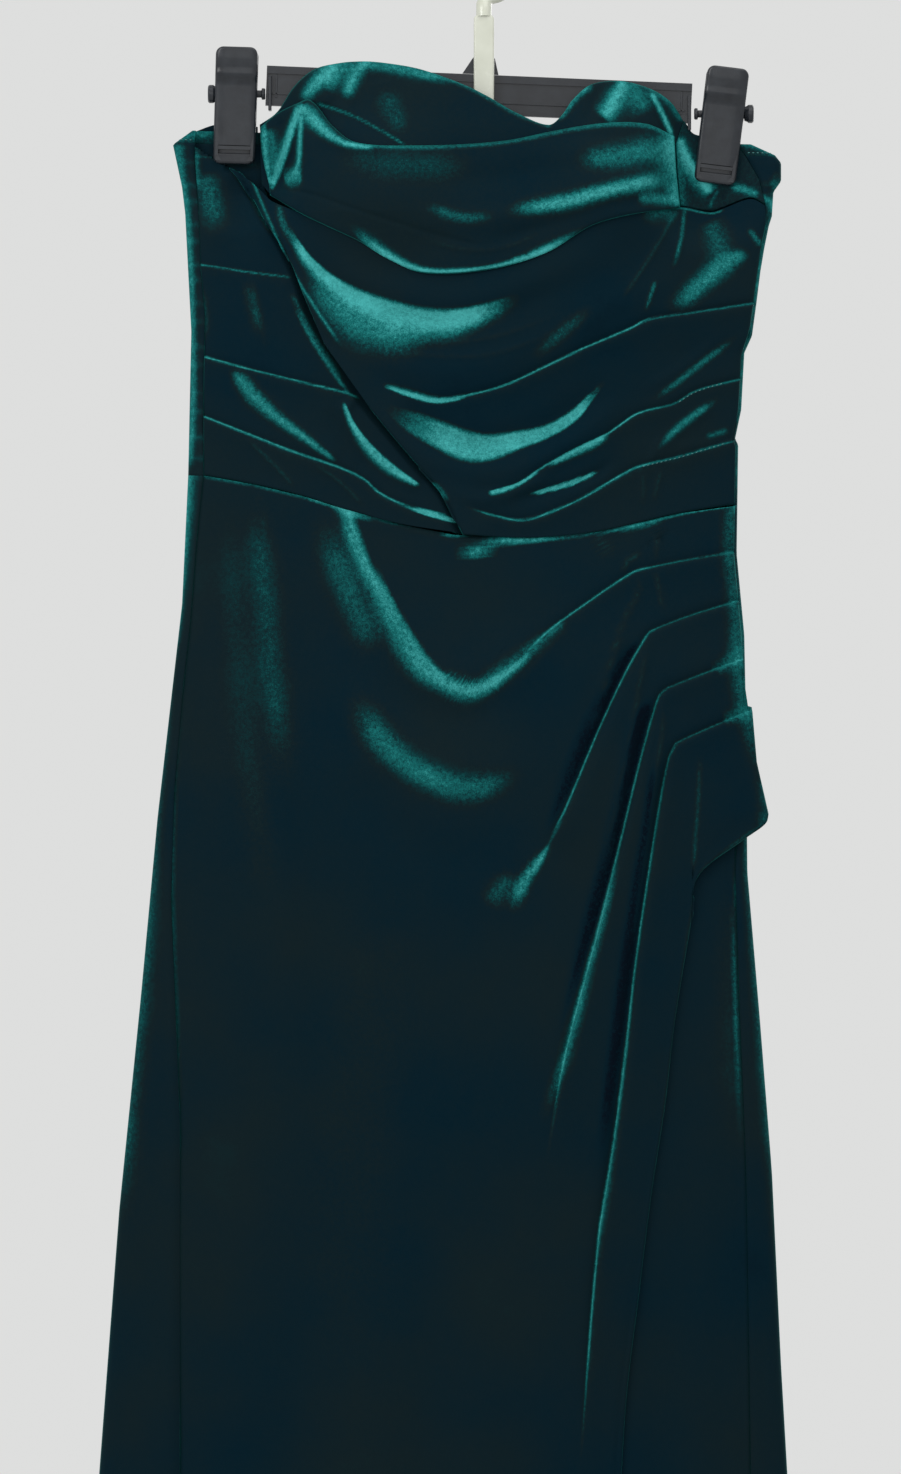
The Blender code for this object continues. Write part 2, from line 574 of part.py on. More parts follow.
def under_lift(z):
    return -UNDER_TUCK * (1 - ease(-z, 425, 500))


def build_wrap():
    columns = []
    for fall in WRAP_FALLS:
        line = smooth_line(fall.points, WRAP_ROWS)
        fade = np.array([ease(t, 0, 0.04) * (1 - ease(t, 0.3, 0.75)) for t in WRAP_ROWS])
        columns.append(np.column_stack([line, fall.lift * fade]))
        if "pleat" in fall.name and "between" not in fall.name:
            beside = line.copy()
            run = np.gradient(line, axis=0)
            across = np.stack([-run[:, 1], run[:, 0]], axis=1)
            across /= np.linalg.norm(across, axis=1, keepdims=True)
            beside += across * PLEAT_STEP
            columns.append(np.column_stack([beside, 0 * fade]))
    flat = np.array(columns).transpose(1, 0, 2)
    flat[:, 0, 0] = [edge_at(LEFT_SEAM, z) for z in flat[:, 0, 1]]
    for point in flat[0]:
        if point[0] > 150 and SIDE_SEAM_TOP > point[1] > FLOUNCE_TOP:
            point[0] = edge_at(RIGHT_SEAM, point[1])
    flat = with_seam_gap(flat)
    flat[-1, :, 1] = HEM_Z
    cloth("skirt_wrap", front_points(flat, wrap_clearance, FLOUNCE_EDGE))


def build_under():
    grid = []
    for z in UNDER_ROWS:
        lift = under_lift(z)
        tucked = lift / -UNDER_TUCK
        end = edge_at(RIGHT_SEAM, z) - SEAM_GAP / 2 - 6 * tucked
        start = UNDER_LEFT - 30 * ease(-z, 700, 1460)
        row = []
        for t in (0, 0.2, 0.4, 0.6, 0.8, 0.93, 1):
            x = start + (end - start) * t
            row.append((x, front_y(x, z) - lift, z))
        grid.append(row)
    grid = np.array(grid)
    waist_x, waist_z = zip(*WAIST)
    grid[0, :, 2] = np.interp(grid[0, :, 0], waist_x, waist_z) - 1.0
    cloth("skirt_under", grid)


# Hanger

def extruded(name, outline, half, turn, finish, bevel=0.0):
    """A flat outline given thickness both ways, welded and placed."""
    curve = bpy.data.curves.new(name, "CURVE")
    curve.dimensions = "2D"
    curve.fill_mode = "BOTH"
    curve.extrude = half * MM
    spline = curve.splines.new("POLY")
    spline.points.add(len(outline) - 1)
    for point, (u, v) in zip(spline.points, outline):
        point.co = (u * MM, v * MM, 0, 1)
    spline.use_cyclic_u = True
    draft = bpy.data.objects.new(name + "_outline", curve)
    bpy.context.scene.collection.objects.link(draft)
    mesh = bpy.data.meshes.new_from_object(draft.evaluated_get(bpy.context.evaluated_depsgraph_get()))
    bpy.data.objects.remove(draft)
    mesh.materials.clear()
    bm = bmesh.new()
    bm.from_mesh(mesh)
    bmesh.ops.remove_doubles(bm, verts=bm.verts, dist=0.00001)
    bmesh.ops.transform(bm, matrix=turn, verts=bm.verts)
    bmesh.ops.recalc_face_normals(bm, faces=bm.faces)
    bm.to_mesh(mesh)
    bm.free()
    mesh.name = name
    obj = link(bpy.data.objects.new(name, mesh), finish)
    if bevel:
        rounding = obj.modifiers.new("rounding", "BEVEL")
        rounding.width = bevel * MM
        rounding.segments = 2
        rounding.limit_method = "ANGLE"
    return obj


# An outline drawn in (y, z) is given its thickness along X
ACROSS_X = Matrix(((0, 0, 1, 0), (1, 0, 0, 0), (0, 1, 0, 0), (0, 0, 0, 1)))
# An outline drawn in (x, z) is given its thickness along Y
ACROSS_Y = Matrix(((1, 0, 0, 0), (0, 0, 1, 0), (0, 1, 0, 0), (0, 0, 0, 1)))


def place(x, y, z, tilt):
    return Matrix.Translation((x * MM, y * MM, z * MM)) @ Matrix.Rotation(math.radians(tilt), 4, "Y")


def build_bar():
    """An I-section bar, a little lower at its right end."""
    low = -BAR_HEIGHT
    web = FLANGE_HEIGHT
    outline = (
        (-BAR_FLANGE, 0), (BAR_FLANGE, 0), (BAR_FLANGE, -web), (BAR_WEB, -web), (BAR_WEB, low + web),
        (BAR_FLANGE, low + web), (BAR_FLANGE, low), (-BAR_FLANGE, low), (-BAR_FLANGE, low + web),
        (-BAR_WEB, low + web), (-BAR_WEB, -web), (-BAR_FLANGE, -web),
    )
    middle = (BAR_LEFT + BAR_RIGHT) / 2
    drop = math.tan(math.radians(BAR_TILT)) * middle
    half = (BAR_RIGHT - BAR_LEFT) / 2 / math.cos(math.radians(BAR_TILT))
    extruded("hanger_bar", outline, half, place(middle, 0, BAR_TOP - drop, BAR_TILT) @ ACROSS_X, BLACK)
    gusset = ((-14, 0.4), (9.5, 0.4), (6.7, 11), (-7.5, 11))
    extruded("hanger_gusset", gusset, BAR_WEB, place(0, 0, BAR_TOP, BAR_TILT) @ ACROSS_Y, BLACK)


def build_hook():
    """A flat shank in front of the bar, and a round hook that bends over the rod."""
    half = SHANK_WIDTH / 2
    outline = (
        (-half, SHANK_BOTTOM), (half, SHANK_BOTTOM), (half, SHANK_TOP - 4), (half - 2.5, SHANK_TOP),
        (2.5 - half, SHANK_TOP), (-half, SHANK_TOP - 4),
    )
    shank_y = -BAR_FLANGE - 0.3 - SHANK_DEPTH / 2
    extruded("hook_shank", outline, SHANK_DEPTH / 2, place(0, shank_y, 0, 0) @ ACROSS_Y, CREAM, 0.8)
    centre = -HOOK_RADIUS
    bend = HOOK_RADIUS + HOOK_WIRE
    route = [
        (0, shank_y, SHANK_TOP + 0.3), (0, shank_y, SHANK_TOP + 2.5), (2, shank_y * 0.7, SHANK_TOP + 6),
        (8, shank_y * 0.25, SHANK_TOP + 10.5),
    ]
    for angle in range(-50, 236, 15):
        turn = math.radians(angle)
        route.append((bend * math.cos(turn), 0, centre + bend * math.sin(turn)))
    curve = bpy.data.curves.new("hook_bend", "CURVE")
    curve.dimensions = "3D"
    curve.bevel_depth = HOOK_WIRE * MM
    curve.bevel_resolution = 2
    curve.use_fill_caps = True
    spline = curve.splines.new("POLY")
    spline.points.add(len(route) - 1)
    for point, place_ in zip(spline.points, route):
        point.co = (*(value * MM for value in place_), 1)
    obj = link(bpy.data.objects.new("hook_bend", curve), CREAM)
    weld = obj.modifiers.new("caps", "WELD")
    weld.merge_threshold = 0.00001


def build_clip(clip):
    """Two jaws that close on the cloth, and the pin that carries them on the bar's end."""
    top = 38.0
    foot = -38.0
    grip = PINCHED + 0.5
    pin = clip.pin_z - clip.z
    outer = (
        (-grip, foot), (-grip, foot + 30), (-PIN_RADIUS - 0.4, pin - 5), (-PIN_RADIUS - 0.4, pin + 5), (-10, top),
        (-14.5, top), (-9.2, pin + 6), (-8.4, pin - 6), (-6.6, foot + 8), (-6.0, foot),
    )
    for side, sign in (("front", 1), ("back", -1)):
        outline = [(u * sign, v) for u, v in outer]
        turn = place(clip.x, 0, clip.z, clip.tilt) @ ACROSS_X
        extruded(f"clip_{clip.side}_{side}", outline, CLIP_WIDTH / 2, turn, BLACK, 1.0)
    length = clip.outer_x - clip.inner_x
    knob = math.copysign(4.5, length)
    profile = ((0, 0), (0, PIN_RADIUS), (length, PIN_RADIUS), (length, 6), (length + knob, 6), (length + knob, 0))
    mesh = bpy.data.meshes.new(f"clip_{clip.side}_pin")
    bm = bmesh.new()
    ring = [bm.verts.new((along * MM, 0, away * MM)) for along, away in profile]
    edges = [bm.edges.new(pair) for pair in zip(ring, ring[1:])]
    bmesh.ops.spin(bm, geom=ring + edges, axis=(1, 0, 0), cent=(0, 0, 0), steps=16, angle=math.tau, use_merge=True)
    bmesh.ops.remove_doubles(bm, verts=bm.verts, dist=0.00001)
    bmesh.ops.recalc_face_normals(bm, faces=bm.faces)
    bmesh.ops.translate(bm, verts=bm.verts, vec=Vector((clip.inner_x, 0, clip.pin_z)) * MM)
    bm.to_mesh(mesh)
    bm.free()
    link(bpy.data.objects.new(mesh.name, mesh), BLACK)


def main():
    for obj in list(bpy.data.objects):
        bpy.data.objects.remove(obj)
    collection = bpy.data.collections.new(COLLECTION)
    bpy.context.scene.collection.children.link(collection)
    build_bodice_front()
    build_side_left()
    build_side_right()
    build_bust()
    build_back()
    build_wrap()
    build_under()
    build_bar()
    build_hook()
    for clip in CLIPS:
        build_clip(clip)


main()
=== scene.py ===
# %% [markdown]
# # A strapless velvet dress on a clip hanger
# The dress hangs flat from two clips. It is a tube of stretch velvet: a draped bodice with a cowl over the bust, and
# a wrap skirt with four pleats from the right side seam. The imported model gives the places and sizes, and this script
# gives the cloth its folds and every surface its finish. Loading the frame comes first, because each new piece rides
# on one of its bodies.

import math
from collections import namedtuple

import bmesh
import bpy
import numpy as np
from mathutils import Matrix, Vector


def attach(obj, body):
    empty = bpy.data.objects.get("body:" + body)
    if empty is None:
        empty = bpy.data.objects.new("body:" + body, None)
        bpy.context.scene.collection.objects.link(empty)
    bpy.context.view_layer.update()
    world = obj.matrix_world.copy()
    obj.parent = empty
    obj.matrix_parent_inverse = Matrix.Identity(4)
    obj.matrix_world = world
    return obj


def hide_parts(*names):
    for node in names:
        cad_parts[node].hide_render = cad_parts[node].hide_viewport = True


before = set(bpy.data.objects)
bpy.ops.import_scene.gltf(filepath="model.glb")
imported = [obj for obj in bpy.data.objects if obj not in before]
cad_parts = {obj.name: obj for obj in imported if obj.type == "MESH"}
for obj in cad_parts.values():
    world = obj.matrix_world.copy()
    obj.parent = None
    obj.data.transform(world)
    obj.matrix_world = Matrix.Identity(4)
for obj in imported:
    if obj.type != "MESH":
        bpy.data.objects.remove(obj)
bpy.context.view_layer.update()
MM = 0.001

# %% [markdown]
# ## The camera, the light and the floor
# The dress is seen straight on, from so far that cloth and hanger keep one scale. A long lens from 6 m does that. The
# pale surround lights the cloth from all round, as a white room does, and four large soft lamps give the plastic its
# gloss and the folds their shade. The floor is a wide pale disc below the hem.

# %% Camera, light and floor
VIEW_CENTRE = (-21.8, -520.7)
VIEW_AWAY = 6000.0
LENS = 224.5
ROOM = (0.73, 0.735, 0.73, 1)
FLOOR_Z = -1600.0


def set_stage():
    camera = bpy.data.objects.new("camera", bpy.data.cameras.new("camera"))
    camera.data.lens = LENS
    camera.location = Vector((VIEW_CENTRE[0], -VIEW_AWAY, VIEW_CENTRE[1])) * MM
    camera.rotation_euler = (math.pi / 2, 0, 0)
    bpy.context.scene.collection.objects.link(camera)
    bpy.context.scene.camera = camera
    world = bpy.data.worlds.new("room")
    world.use_nodes = True
    world.node_tree.nodes["Background"].inputs["Color"].default_value = ROOM
    bpy.context.scene.world = world
    bpy.context.scene.view_settings.view_transform = "Standard"
    for name, place, energy, size in (
            ("window", (-1.3, -1.5, 0.5), 16, 1.0), ("ceiling", (0.5, -0.7, 1.1), 10, 1.4),
            ("fill", (1.2, 1.8, 0), 12, 1.4), ("front", (0, -2.4, 0.15), 4, 1.2)):
        lamp = bpy.data.objects.new(name, bpy.data.lights.new(name, "AREA"))
        lamp.data.energy = energy
        lamp.data.size = size
        lamp.location = place
        lamp.visible_camera = False
        lamp.rotation_euler = (Vector((0, 0, -0.5)) - lamp.location).to_track_quat("-Z", "Y").to_euler()
        bpy.context.scene.collection.objects.link(lamp)
    bm = bmesh.new()
    bmesh.ops.create_circle(bm, cap_ends=True, segments=64, radius=1.3)
    bmesh.ops.translate(bm, verts=bm.verts, vec=(0, 0, FLOOR_Z * MM))
    mesh = bpy.data.meshes.new("floor")
    bm.to_mesh(mesh)
    bm.free()
    floor = bpy.data.objects.new("floor", mesh)
    bpy.context.scene.collection.objects.link(floor)
    return floor


floor = set_stage()
print("camera at", tuple(bpy.context.scene.camera.location))

# %% [markdown]
# ## Shader maths as plain expressions
# Nodes are quick to click together and slow to read in a script. A small class wraps a socket, so that sums on values
# add their own Math nodes. Any other node comes from one method that takes its type, its settings and its sockets.

# %% A material writer


class Value:
    """A node's output socket that sums can be written with."""

    def __init__(self, tree, socket):
        self.tree = tree
        self.socket = socket

    def maths(self, operation, a, b):
        return self.tree.node("ShaderNodeMath", {"operation": operation, "use_clamp": False}, {0: a, 1: b})

    def __add__(self, other):
        return self.maths("ADD", self, other)

    def __sub__(self, other):
        return self.maths("SUBTRACT", self, other)

    def __rsub__(self, other):
        return self.maths("SUBTRACT", other, self)

    def __mul__(self, other):
        return self.maths("MULTIPLY", self, other)

    __radd__ = __add__
    __rmul__ = __mul__


class Finish:
    """A material whose nodes are written in code."""

    def __init__(self, name, **settings):
        self.material = bpy.data.materials.new(name)
        self.material.use_nodes = True
        self.nodes = self.material.node_tree.nodes
        self.links = self.material.node_tree.links
        self.shader = self.nodes["Principled BSDF"]
        for key, value in settings.items():
            self.shader.inputs[key.replace("_", " ")].default_value = value

    def node(self, kind, settings, sockets, output=0):
        node = self.nodes.new(kind)
        stops = settings.pop("stops", None)
        for key, value in settings.items():
            setattr(node, key, value)
        if stops:
            while len(node.color_ramp.elements) < len(stops):
                node.color_ramp.elements.new(0.5)
            for element, (position, colour) in zip(node.color_ramp.elements, stops):
                element.position = position
                element.color = colour
        for key, value in sockets.items():
            self.join(value, node.inputs[key])
        return Value(self, node.outputs[output])

    def join(self, value, socket):
        if isinstance(value, Value):
            self.links.new(value.socket, socket)
        else:
            socket.default_value = value

    def feed(self, name, value):
        self.join(value, self.shader.inputs[name])

    def place(self):
        return self.node("ShaderNodeTexCoord", {}, {}, "Object")

    def noise(self, scale, detail=2.0, roughness=0.5):
        return self.node("ShaderNodeTexNoise", {}, {
            "Vector": self.place(), "Scale": scale, "Detail": detail, "Roughness": roughness})

    def ramp(self, value, *stops):
        return self.node("ShaderNodeValToRGB", {"stops": stops}, {"Fac": value})

    def bump(self, height, strength, distance):
        self.feed("Normal", self.node("ShaderNodeBump", {}, {
            "Height": height, "Strength": strength, "Distance": distance}))


print("material writer ready")

# %% [markdown]
# ## Velvet
# Velvet is a cloth of short upright fibres. Seen end on they swallow light, so the dress is almost black. Where the
# cloth turns away it flashes teal, which the shader's sheen gives. The other teal flashes are painted highlights:
# each fold's edge and each light stroke paints them into the base colour through a mesh attribute, broken up here
# by fine noise into a grainy edge. A value of that attribute under zero is painted shade in a recess.

# %% The velvet, the plastics and the floor finish
# The second and third colours are the cloth's own near-black; the first is painted shade in recesses, and the last
# three are painted teal highlight.
PAINTED_RECESS_SHADE = (0.0004, 0.0030, 0.0080, 1)
PILE_DARK = (0.0006, 0.0105, 0.0185, 1)
PILE_PLAIN = (0.0042, 0.0118, 0.0150, 1)
PAINTED_SHEEN_FAINT = (0.0020, 0.0280, 0.0320, 1)
PAINTED_SHEEN_MID = (0.0060, 0.1250, 0.1230, 1)
PAINTED_SHEEN_LIGHT = (0.0640, 0.4150, 0.4080, 1)
SHEEN_TINT = (0.03, 0.62, 0.56, 1)


def velvet():
    finish = Finish(
        "green_velvet", Specular_IOR_Level=0.05, Sheen_Weight=0.22, Sheen_Roughness=0.35, Sheen_Tint=SHEEN_TINT)
    painted_sheen = finish.node("ShaderNodeAttribute", {"attribute_name": "painted_sheen"}, {}, "Fac")
    pile = finish.noise(1500.0, 2.0)
    tufts = finish.noise(420.0, 3.0, 0.6)
    painted_light_patches = finish.noise(34.0, 3.0, 0.6)
    partly = painted_sheen * (1.3 - painted_sheen) * 2.4
    broken_painted_sheen = painted_sheen * (0.68 + painted_light_patches * 0.56) + (pile - 0.5) * partly * 0.8 + (tufts - 0.5) * partly * 0.7
    areas = finish.noise(8.0, 1.0)
    rest = (areas - 0.5) * 0.22 + (painted_light_patches - 0.5) * 0.06 + (tufts - 0.5) * 0.03 + 0.125
    # Base colour: a random near-black tone plus the painted highlight and painted shade from the mesh attribute
    finish.feed("Base Color", finish.ramp(
        broken_painted_sheen * 0.8 + rest, (0.0, PAINTED_RECESS_SHADE), (0.08, PILE_DARK), (0.17, PILE_PLAIN), (0.28, PAINTED_SHEEN_FAINT),
        (0.55, PAINTED_SHEEN_MID), (1.0, PAINTED_SHEEN_LIGHT)))
    finish.feed("Roughness", 0.95 - tufts * 0.2)
    finish.bump(pile * 0.6 + tufts * 0.4, 0.25, 0.0004)
    return finish.material


def black_plastic():
    finish = Finish("black_plastic", Specular_IOR_Level=0.32, Coat_Weight=0.15, Coat_Roughness=0.12)
    scuffs = finish.noise(90.0, 4.0, 0.65)
    grain = finish.noise(2600.0, 1.0)
    finish.feed("Base Color", finish.ramp(scuffs, (0.3, (0.009, 0.011, 0.015, 1)), (0.75, (0.021, 0.025, 0.031, 1))))
    finish.feed("Roughness", 0.24 + scuffs * 0.18)
    finish.bump(grain, 0.12, 0.0002)
    return finish.material


def cream_plastic():
    finish = Finish("cream_plastic", Coat_Weight=0.4, Coat_Roughness=0.08, IOR=1.5)
    clouds = finish.noise(60.0, 3.0)
    finish.feed("Base Color", finish.ramp(clouds, (0.2, (0.50, 0.515, 0.43, 1)), (0.8, (0.60, 0.615, 0.53, 1))))
    finish.feed("Roughness", 0.2 + clouds * 0.12)
    finish.bump(finish.noise(900.0, 2.0), 0.06, 0.0002)
    return finish.material


def floor_paint():
    finish = Finish("floor_paint", Roughness=0.8)
    finish.feed("Base Color", finish.ramp(
        finish.noise(3.0, 5.0), (0.3, (0.70, 0.70, 0.69, 1)), (0.7, (0.78, 0.78, 0.77, 1))))
    return finish.material


VELVET = velvet()
BLACK = black_plastic()
CREAM = cream_plastic()
floor.data.materials.append(floor_paint())
print("finishes:", [m.name for m in bpy.data.materials])

# %% [markdown]
# ## The hung tube
# Every cloth piece lies on one form: a flat lens-shaped tube, widest at the bust, pinched where the clips hold it.
# Its outline is the dress's own outline. The same tables shape the solids, so the new cloth lies where they do.
# A piece is then drawn flat as lines of (x, z) in millimetres, and the form gives each point its depth.

# %% The form's tables
Depth = namedtuple("Depth", "z front back")
Edge = namedtuple("Edge", "z x")
Cup = namedtuple("Cup", "x z height reach")
Clip = namedtuple("Clip", "side x z tilt inner_x outer_x pin_z")
HEM_Z = -1460.0
EDGE_RADIUS = 6.0
PINCHED = 2.5
CLIP_WIDTH = 26.0
CLIPS = (
    Clip("left", -162.0, -109.0, 1.7, -142.7, -180.0, -101.0),
    Clip("right", 155.0, -122.0, 7.0, 137.2, 176.0, -114.0),
)
DEPTHS = (
    Depth(-80, 24, 8),
    Depth(-125, 33, 9),
    Depth(-180, 40, 12),
    Depth(-240, 35, 12),
    Depth(-300, 26, 11),
    Depth(-350, 20, 10),
    Depth(-390, 18, 11),
    Depth(-450, 22, 15),
    Depth(-540, 27, 20),
    Depth(-800, 29, 21),
    Depth(HEM_Z, 34, 26),
)
CUPS = (Cup(-72, -160, 13, 62), Cup(84, -152, 13, 58))
LEFT_EDGE = (
    Edge(-118, -178), Edge(-124, -189), Edge(-134, -203), Edge(-148, -200), Edge(-162, -197), Edge(-179, -195),
    Edge(-256, -191), Edge(-349, -193), Edge(-434, -197), Edge(-486, -203), Edge(-573, -213), Edge(-691, -224),
    Edge(-829, -238), Edge(-1000, -251), Edge(HEM_Z, -285),
)
RIGHT_EDGE = (
    Edge(-131, 168), Edge(-136, 179), Edge(-141, 190), Edge(-146, 194), Edge(-158, 194), Edge(-165, 189),
    Edge(-181, 188), Edge(-187, 186), Edge(-202, 183), Edge(-217, 180.5), Edge(-237, 178), Edge(-259, 175),
    Edge(-270, 170), Edge(-307, 168), Edge(-326, 164), Edge(-330, 166), Edge(-401, 165), Edge(-454, 170),
    Edge(-502, 171), Edge(-609, 172), Edge(-703, 180), Edge(-804, 188), Edge(-931, 194), Edge(-1000, 198),
    Edge(HEM_Z, 222),
)
LEFT_SEAM = (
    Edge(-125, -188), Edge(-142, -189), Edge(-180, -186), Edge(-213, -185), Edge(-246, -182), Edge(-295, -183),
    Edge(-350, -183), Edge(-387, -187), Edge(-450, -192), Edge(-486, -196), Edge(-556, -202), Edge(-627, -204),
    Edge(-770, -198), Edge(-1000, -198), Edge(HEM_Z, -203),
)
RIGHT_SEAM = (
    Edge(-131, 162), Edge(-142, 171), Edge(-158, 180), Edge(-175, 184), Edge(-187, 184.4), Edge(-202, 181.4),
    Edge(-217, 179), Edge(-237, 176.4), Edge(-259, 173.4), Edge(-270, 168.6), Edge(-307, 166.4), Edge(-326, 162.6),
    Edge(-330, 164.4), Edge(-401, 163.4), Edge(-454, 168.4), Edge(-502, 169.4), Edge(-560, 166), Edge(-609, 164),
    Edge(-703, 167), Edge(-804, 171), Edge(-1000, 174), Edge(HEM_Z, 180),
)
FLOUNCE_EDGE = (
    Edge(-131, 168), Edge(-330, 166), Edge(-401, 165), Edge(-454, 170), Edge(-502, 176), Edge(-537, 181),
    Edge(-571, 187), Edge(-600, 180), Edge(-651, 176), Edge(-1000, 198), Edge(HEM_Z, 222),
)
print("outline from", LEFT_EDGE[0].z, "to", HEM_Z)

# %% The form


def ease(value, low, high):
    """Goes smoothly from 0 at low to 1 at high."""
    t = np.clip((np.asarray(value, float) - low) / (high - low), 0, 1)
    return t * t * (3 - 2 * t)


def edge_at(table, z):
    return np.interp(-np.asarray(z, float), [-row.z for row in table], [row.x for row in table])


def part_of(table, high, low):
    return [(row.x, row.z) for row in table if low <= row.z <= high]


def held(x, z):
    """0 where a clip pinches the cloth flat, 1 where it hangs free."""
    free = np.ones_like(x)
    for clip in CLIPS:
        nearest = np.clip(z, clip.z - 38, clip.z + 10)
        lean = math.tan(math.radians(clip.tilt)) * (nearest - clip.z)
        away = np.hypot(x - clip.x - lean, z - nearest) - (CLIP_WIDTH / 2 + 3)
        free = np.minimum(free, ease(away, 0, 34))
    return free


def stand_off(x, z, depth, right_edge):
    """The tube's half-depth at points: a lens with rounded sides, flat at the clips."""
    left = edge_at(LEFT_EDGE, z)
    right = edge_at(right_edge, z)
    inset = np.maximum(np.minimum(x - left, right - x), 0)
    across = np.minimum(np.abs(2 * (x - left) / (right - left) - 1), 1)
    lens = EDGE_RADIUS + (depth - EDGE_RADIUS) * (1 - across**2.4)
    side = np.sqrt(np.maximum(1 - (1 - np.minimum(inset / EDGE_RADIUS, 1)) ** 2, 0))
    free = held(x, z)
    return PINCHED * (1 - free) * np.minimum(1, side * 2) + lens * side * free


def front_y(x, z, right_edge=RIGHT_EDGE):
    depth = np.interp(-z, [-row.z for row in DEPTHS], [row.front for row in DEPTHS])
    for cup in CUPS:
        depth = depth + cup.height * ease(1 - np.hypot(x - cup.x, z - cup.z) / cup.reach, 0, 1)
    return -stand_off(x, z, depth, right_edge)


def back_y(x, z):
    depth = np.interp(-z, [-row.z for row in DEPTHS], [row.back for row in DEPTHS])
    return stand_off(x, z, depth, RIGHT_EDGE)


def smooth_line(points, count):
    """Reads a smooth curve through the points at even steps of its length."""
    points = np.array(points, float)
    ends = np.vstack([2 * points[0] - points[1], points, 2 * points[-1] - points[-2]])
    t = np.linspace(0, 1, 10, endpoint=False)[:, None]
    dense = []
    for p0, p1, p2, p3 in zip(ends, ends[1:], ends[2:], ends[3:]):
        before, here, after = (np.linalg.norm((q - p)[:2]) for p, q in ((p0, p1), (p1, p2), (p2, p3)))
        # Each end's slope is scaled to this stretch's own length, so uneven points give no loops
        m1 = (p2 - p0) * here / (before + here)
        m2 = (p3 - p1) * here / (here + after)
        dense.append(p1 * (2 * t**3 - 3 * t**2 + 1) + m1 * (t**3 - 2 * t**2 + t)
                     + p2 * (3 * t**2 - 2 * t**3) + m2 * (t**3 - t**2))
    dense = np.vstack([*dense, points[-1:]])
    run = np.concatenate([[0], np.cumsum(np.linalg.norm(np.diff(dense[:, :2], axis=0), axis=1))])
    wanted = count * run[-1] if isinstance(count, np.ndarray) else np.linspace(0, run[-1], count)
    return np.stack([np.interp(wanted, run, column) for column in dense.T], axis=1)


print("form ready: bust depth", round(float(-front_y(np.array([0.0]), np.array([-180.0]))[0]), 1), "mm")

# %% [markdown]
# ## Folds and pile
# A draped panel could be simulated, but a simulation gives its own folds, not these ones. So each crease is given as
# a line of (x, z) with a height and a width. A pleat has a rolled edge on one side of its line and a groove on the
# other; a roll is a soft ridge and a trough a soft hollow. A light stroke is a painted highlight, and painted shade
# where its strength is below zero: its points carry a half-width too, and one side may be crisp. Pleat edges and some
# rolls carry a thin painted highlight; on the pleats it is dimmer near the right seam, where they are sewn down.

# %% Folds and strokes
Fold = namedtuple("Fold", "kind height wide shine fade points")
PaintedLight = namedtuple("PaintedLight", "strength crisp fade points")
Row = namedtuple("Row", "name points")
ROLL = 1.8
# Between these x values near the right seam the painted pleat highlights are dimmed by this share
SEWN_PART = (98, 122)
SEWN_GLINT_DIMMING = 0.45


def beside(x, z, points, reach):
    """Which points lie near a line, their signed distance to it (positive on its left), place along it and width."""
    line = smooth_line(points, max(12, 5 * len(points)))
    low = line[:, :2].min(axis=0) - reach
    high = line[:, :2].max(axis=0) + reach
    near = np.nonzero((x > low[0]) & (x < high[0]) & (z > low[1]) & (z < high[1]))[0]
    px = x[near][:, None]
    pz = z[near][:, None]
    a = line[:-1, :2]
    run = line[1:, :2] - a
    length = np.maximum((run**2).sum(axis=1), 1e-9)
    t = np.clip(((px - a[:, 0]) * run[:, 0] + (pz - a[:, 1]) * run[:, 1]) / length, 0, 1)
    dx = px - a[:, 0] - t * run[:, 0]
    dz = pz - a[:, 1] - t * run[:, 1]
    away = np.hypot(dx, dz)
    pick = away.argmin(axis=1)
    rows = np.arange(len(near))
    side = np.sign(run[pick, 0] * dz[rows, pick] - run[pick, 1] * dx[rows, pick])
    along = (pick + t[rows, pick]) / len(run)
    width = np.interp(along, np.linspace(0, 1, len(line)), line[:, -1])
    return near, away[rows, pick] * side, along, width


def faded(along, fade):
    start, end = fade
    level = np.ones_like(along)
    if start:
        level = level * ease(along, 0, start)
    if end:
        level = level * ease(1 - along, 0, end)
    return level


def crease(x, z, folds):
    """The height that folds add at points, and the painted highlight that they lay along their edges."""
    height = np.zeros_like(x)
    painted_sheen = np.zeros_like(x)
    for fold in folds:
        near, side, along, _ = beside(x, z, fold.points, 4 * fold.wide + 6)
        level = faded(along, fold.fade)
        if fold.kind == "pleat":
            over = -side
            rolled = np.sqrt(np.clip(1 - (1 - np.clip(over / ROLL, 0, 1)) ** 2, 0, 1))
            rise = np.where(over > 0, np.exp(-np.maximum(over, 0) / fold.wide) * rolled, 0)
            rise = rise - 0.22 * np.exp(-(side / 3.0) ** 2)
            # The glint on the rolled edge and the glow below it are painted highlights
            glint = np.exp(-(side / 0.75) ** 2)
            glow = 0.16 * np.where(over > 0, np.exp(-np.maximum(over, 0) / 2.4), 0)
            lit = np.maximum(glint, glow) * (1 - SEWN_GLINT_DIMMING * ease(x[near], *SEWN_PART))
        else:
            rise = np.exp(-(side / fold.wide) ** 2) * (1 if fold.kind == "roll" else -1)
            lit = np.exp(-(side / (0.35 * fold.wide + 0.5)) ** 2)
        height[near] += fold.height * level * rise
        painted_sheen[near] = np.maximum(painted_sheen[near], fold.shine * level * lit)
    return height, painted_sheen


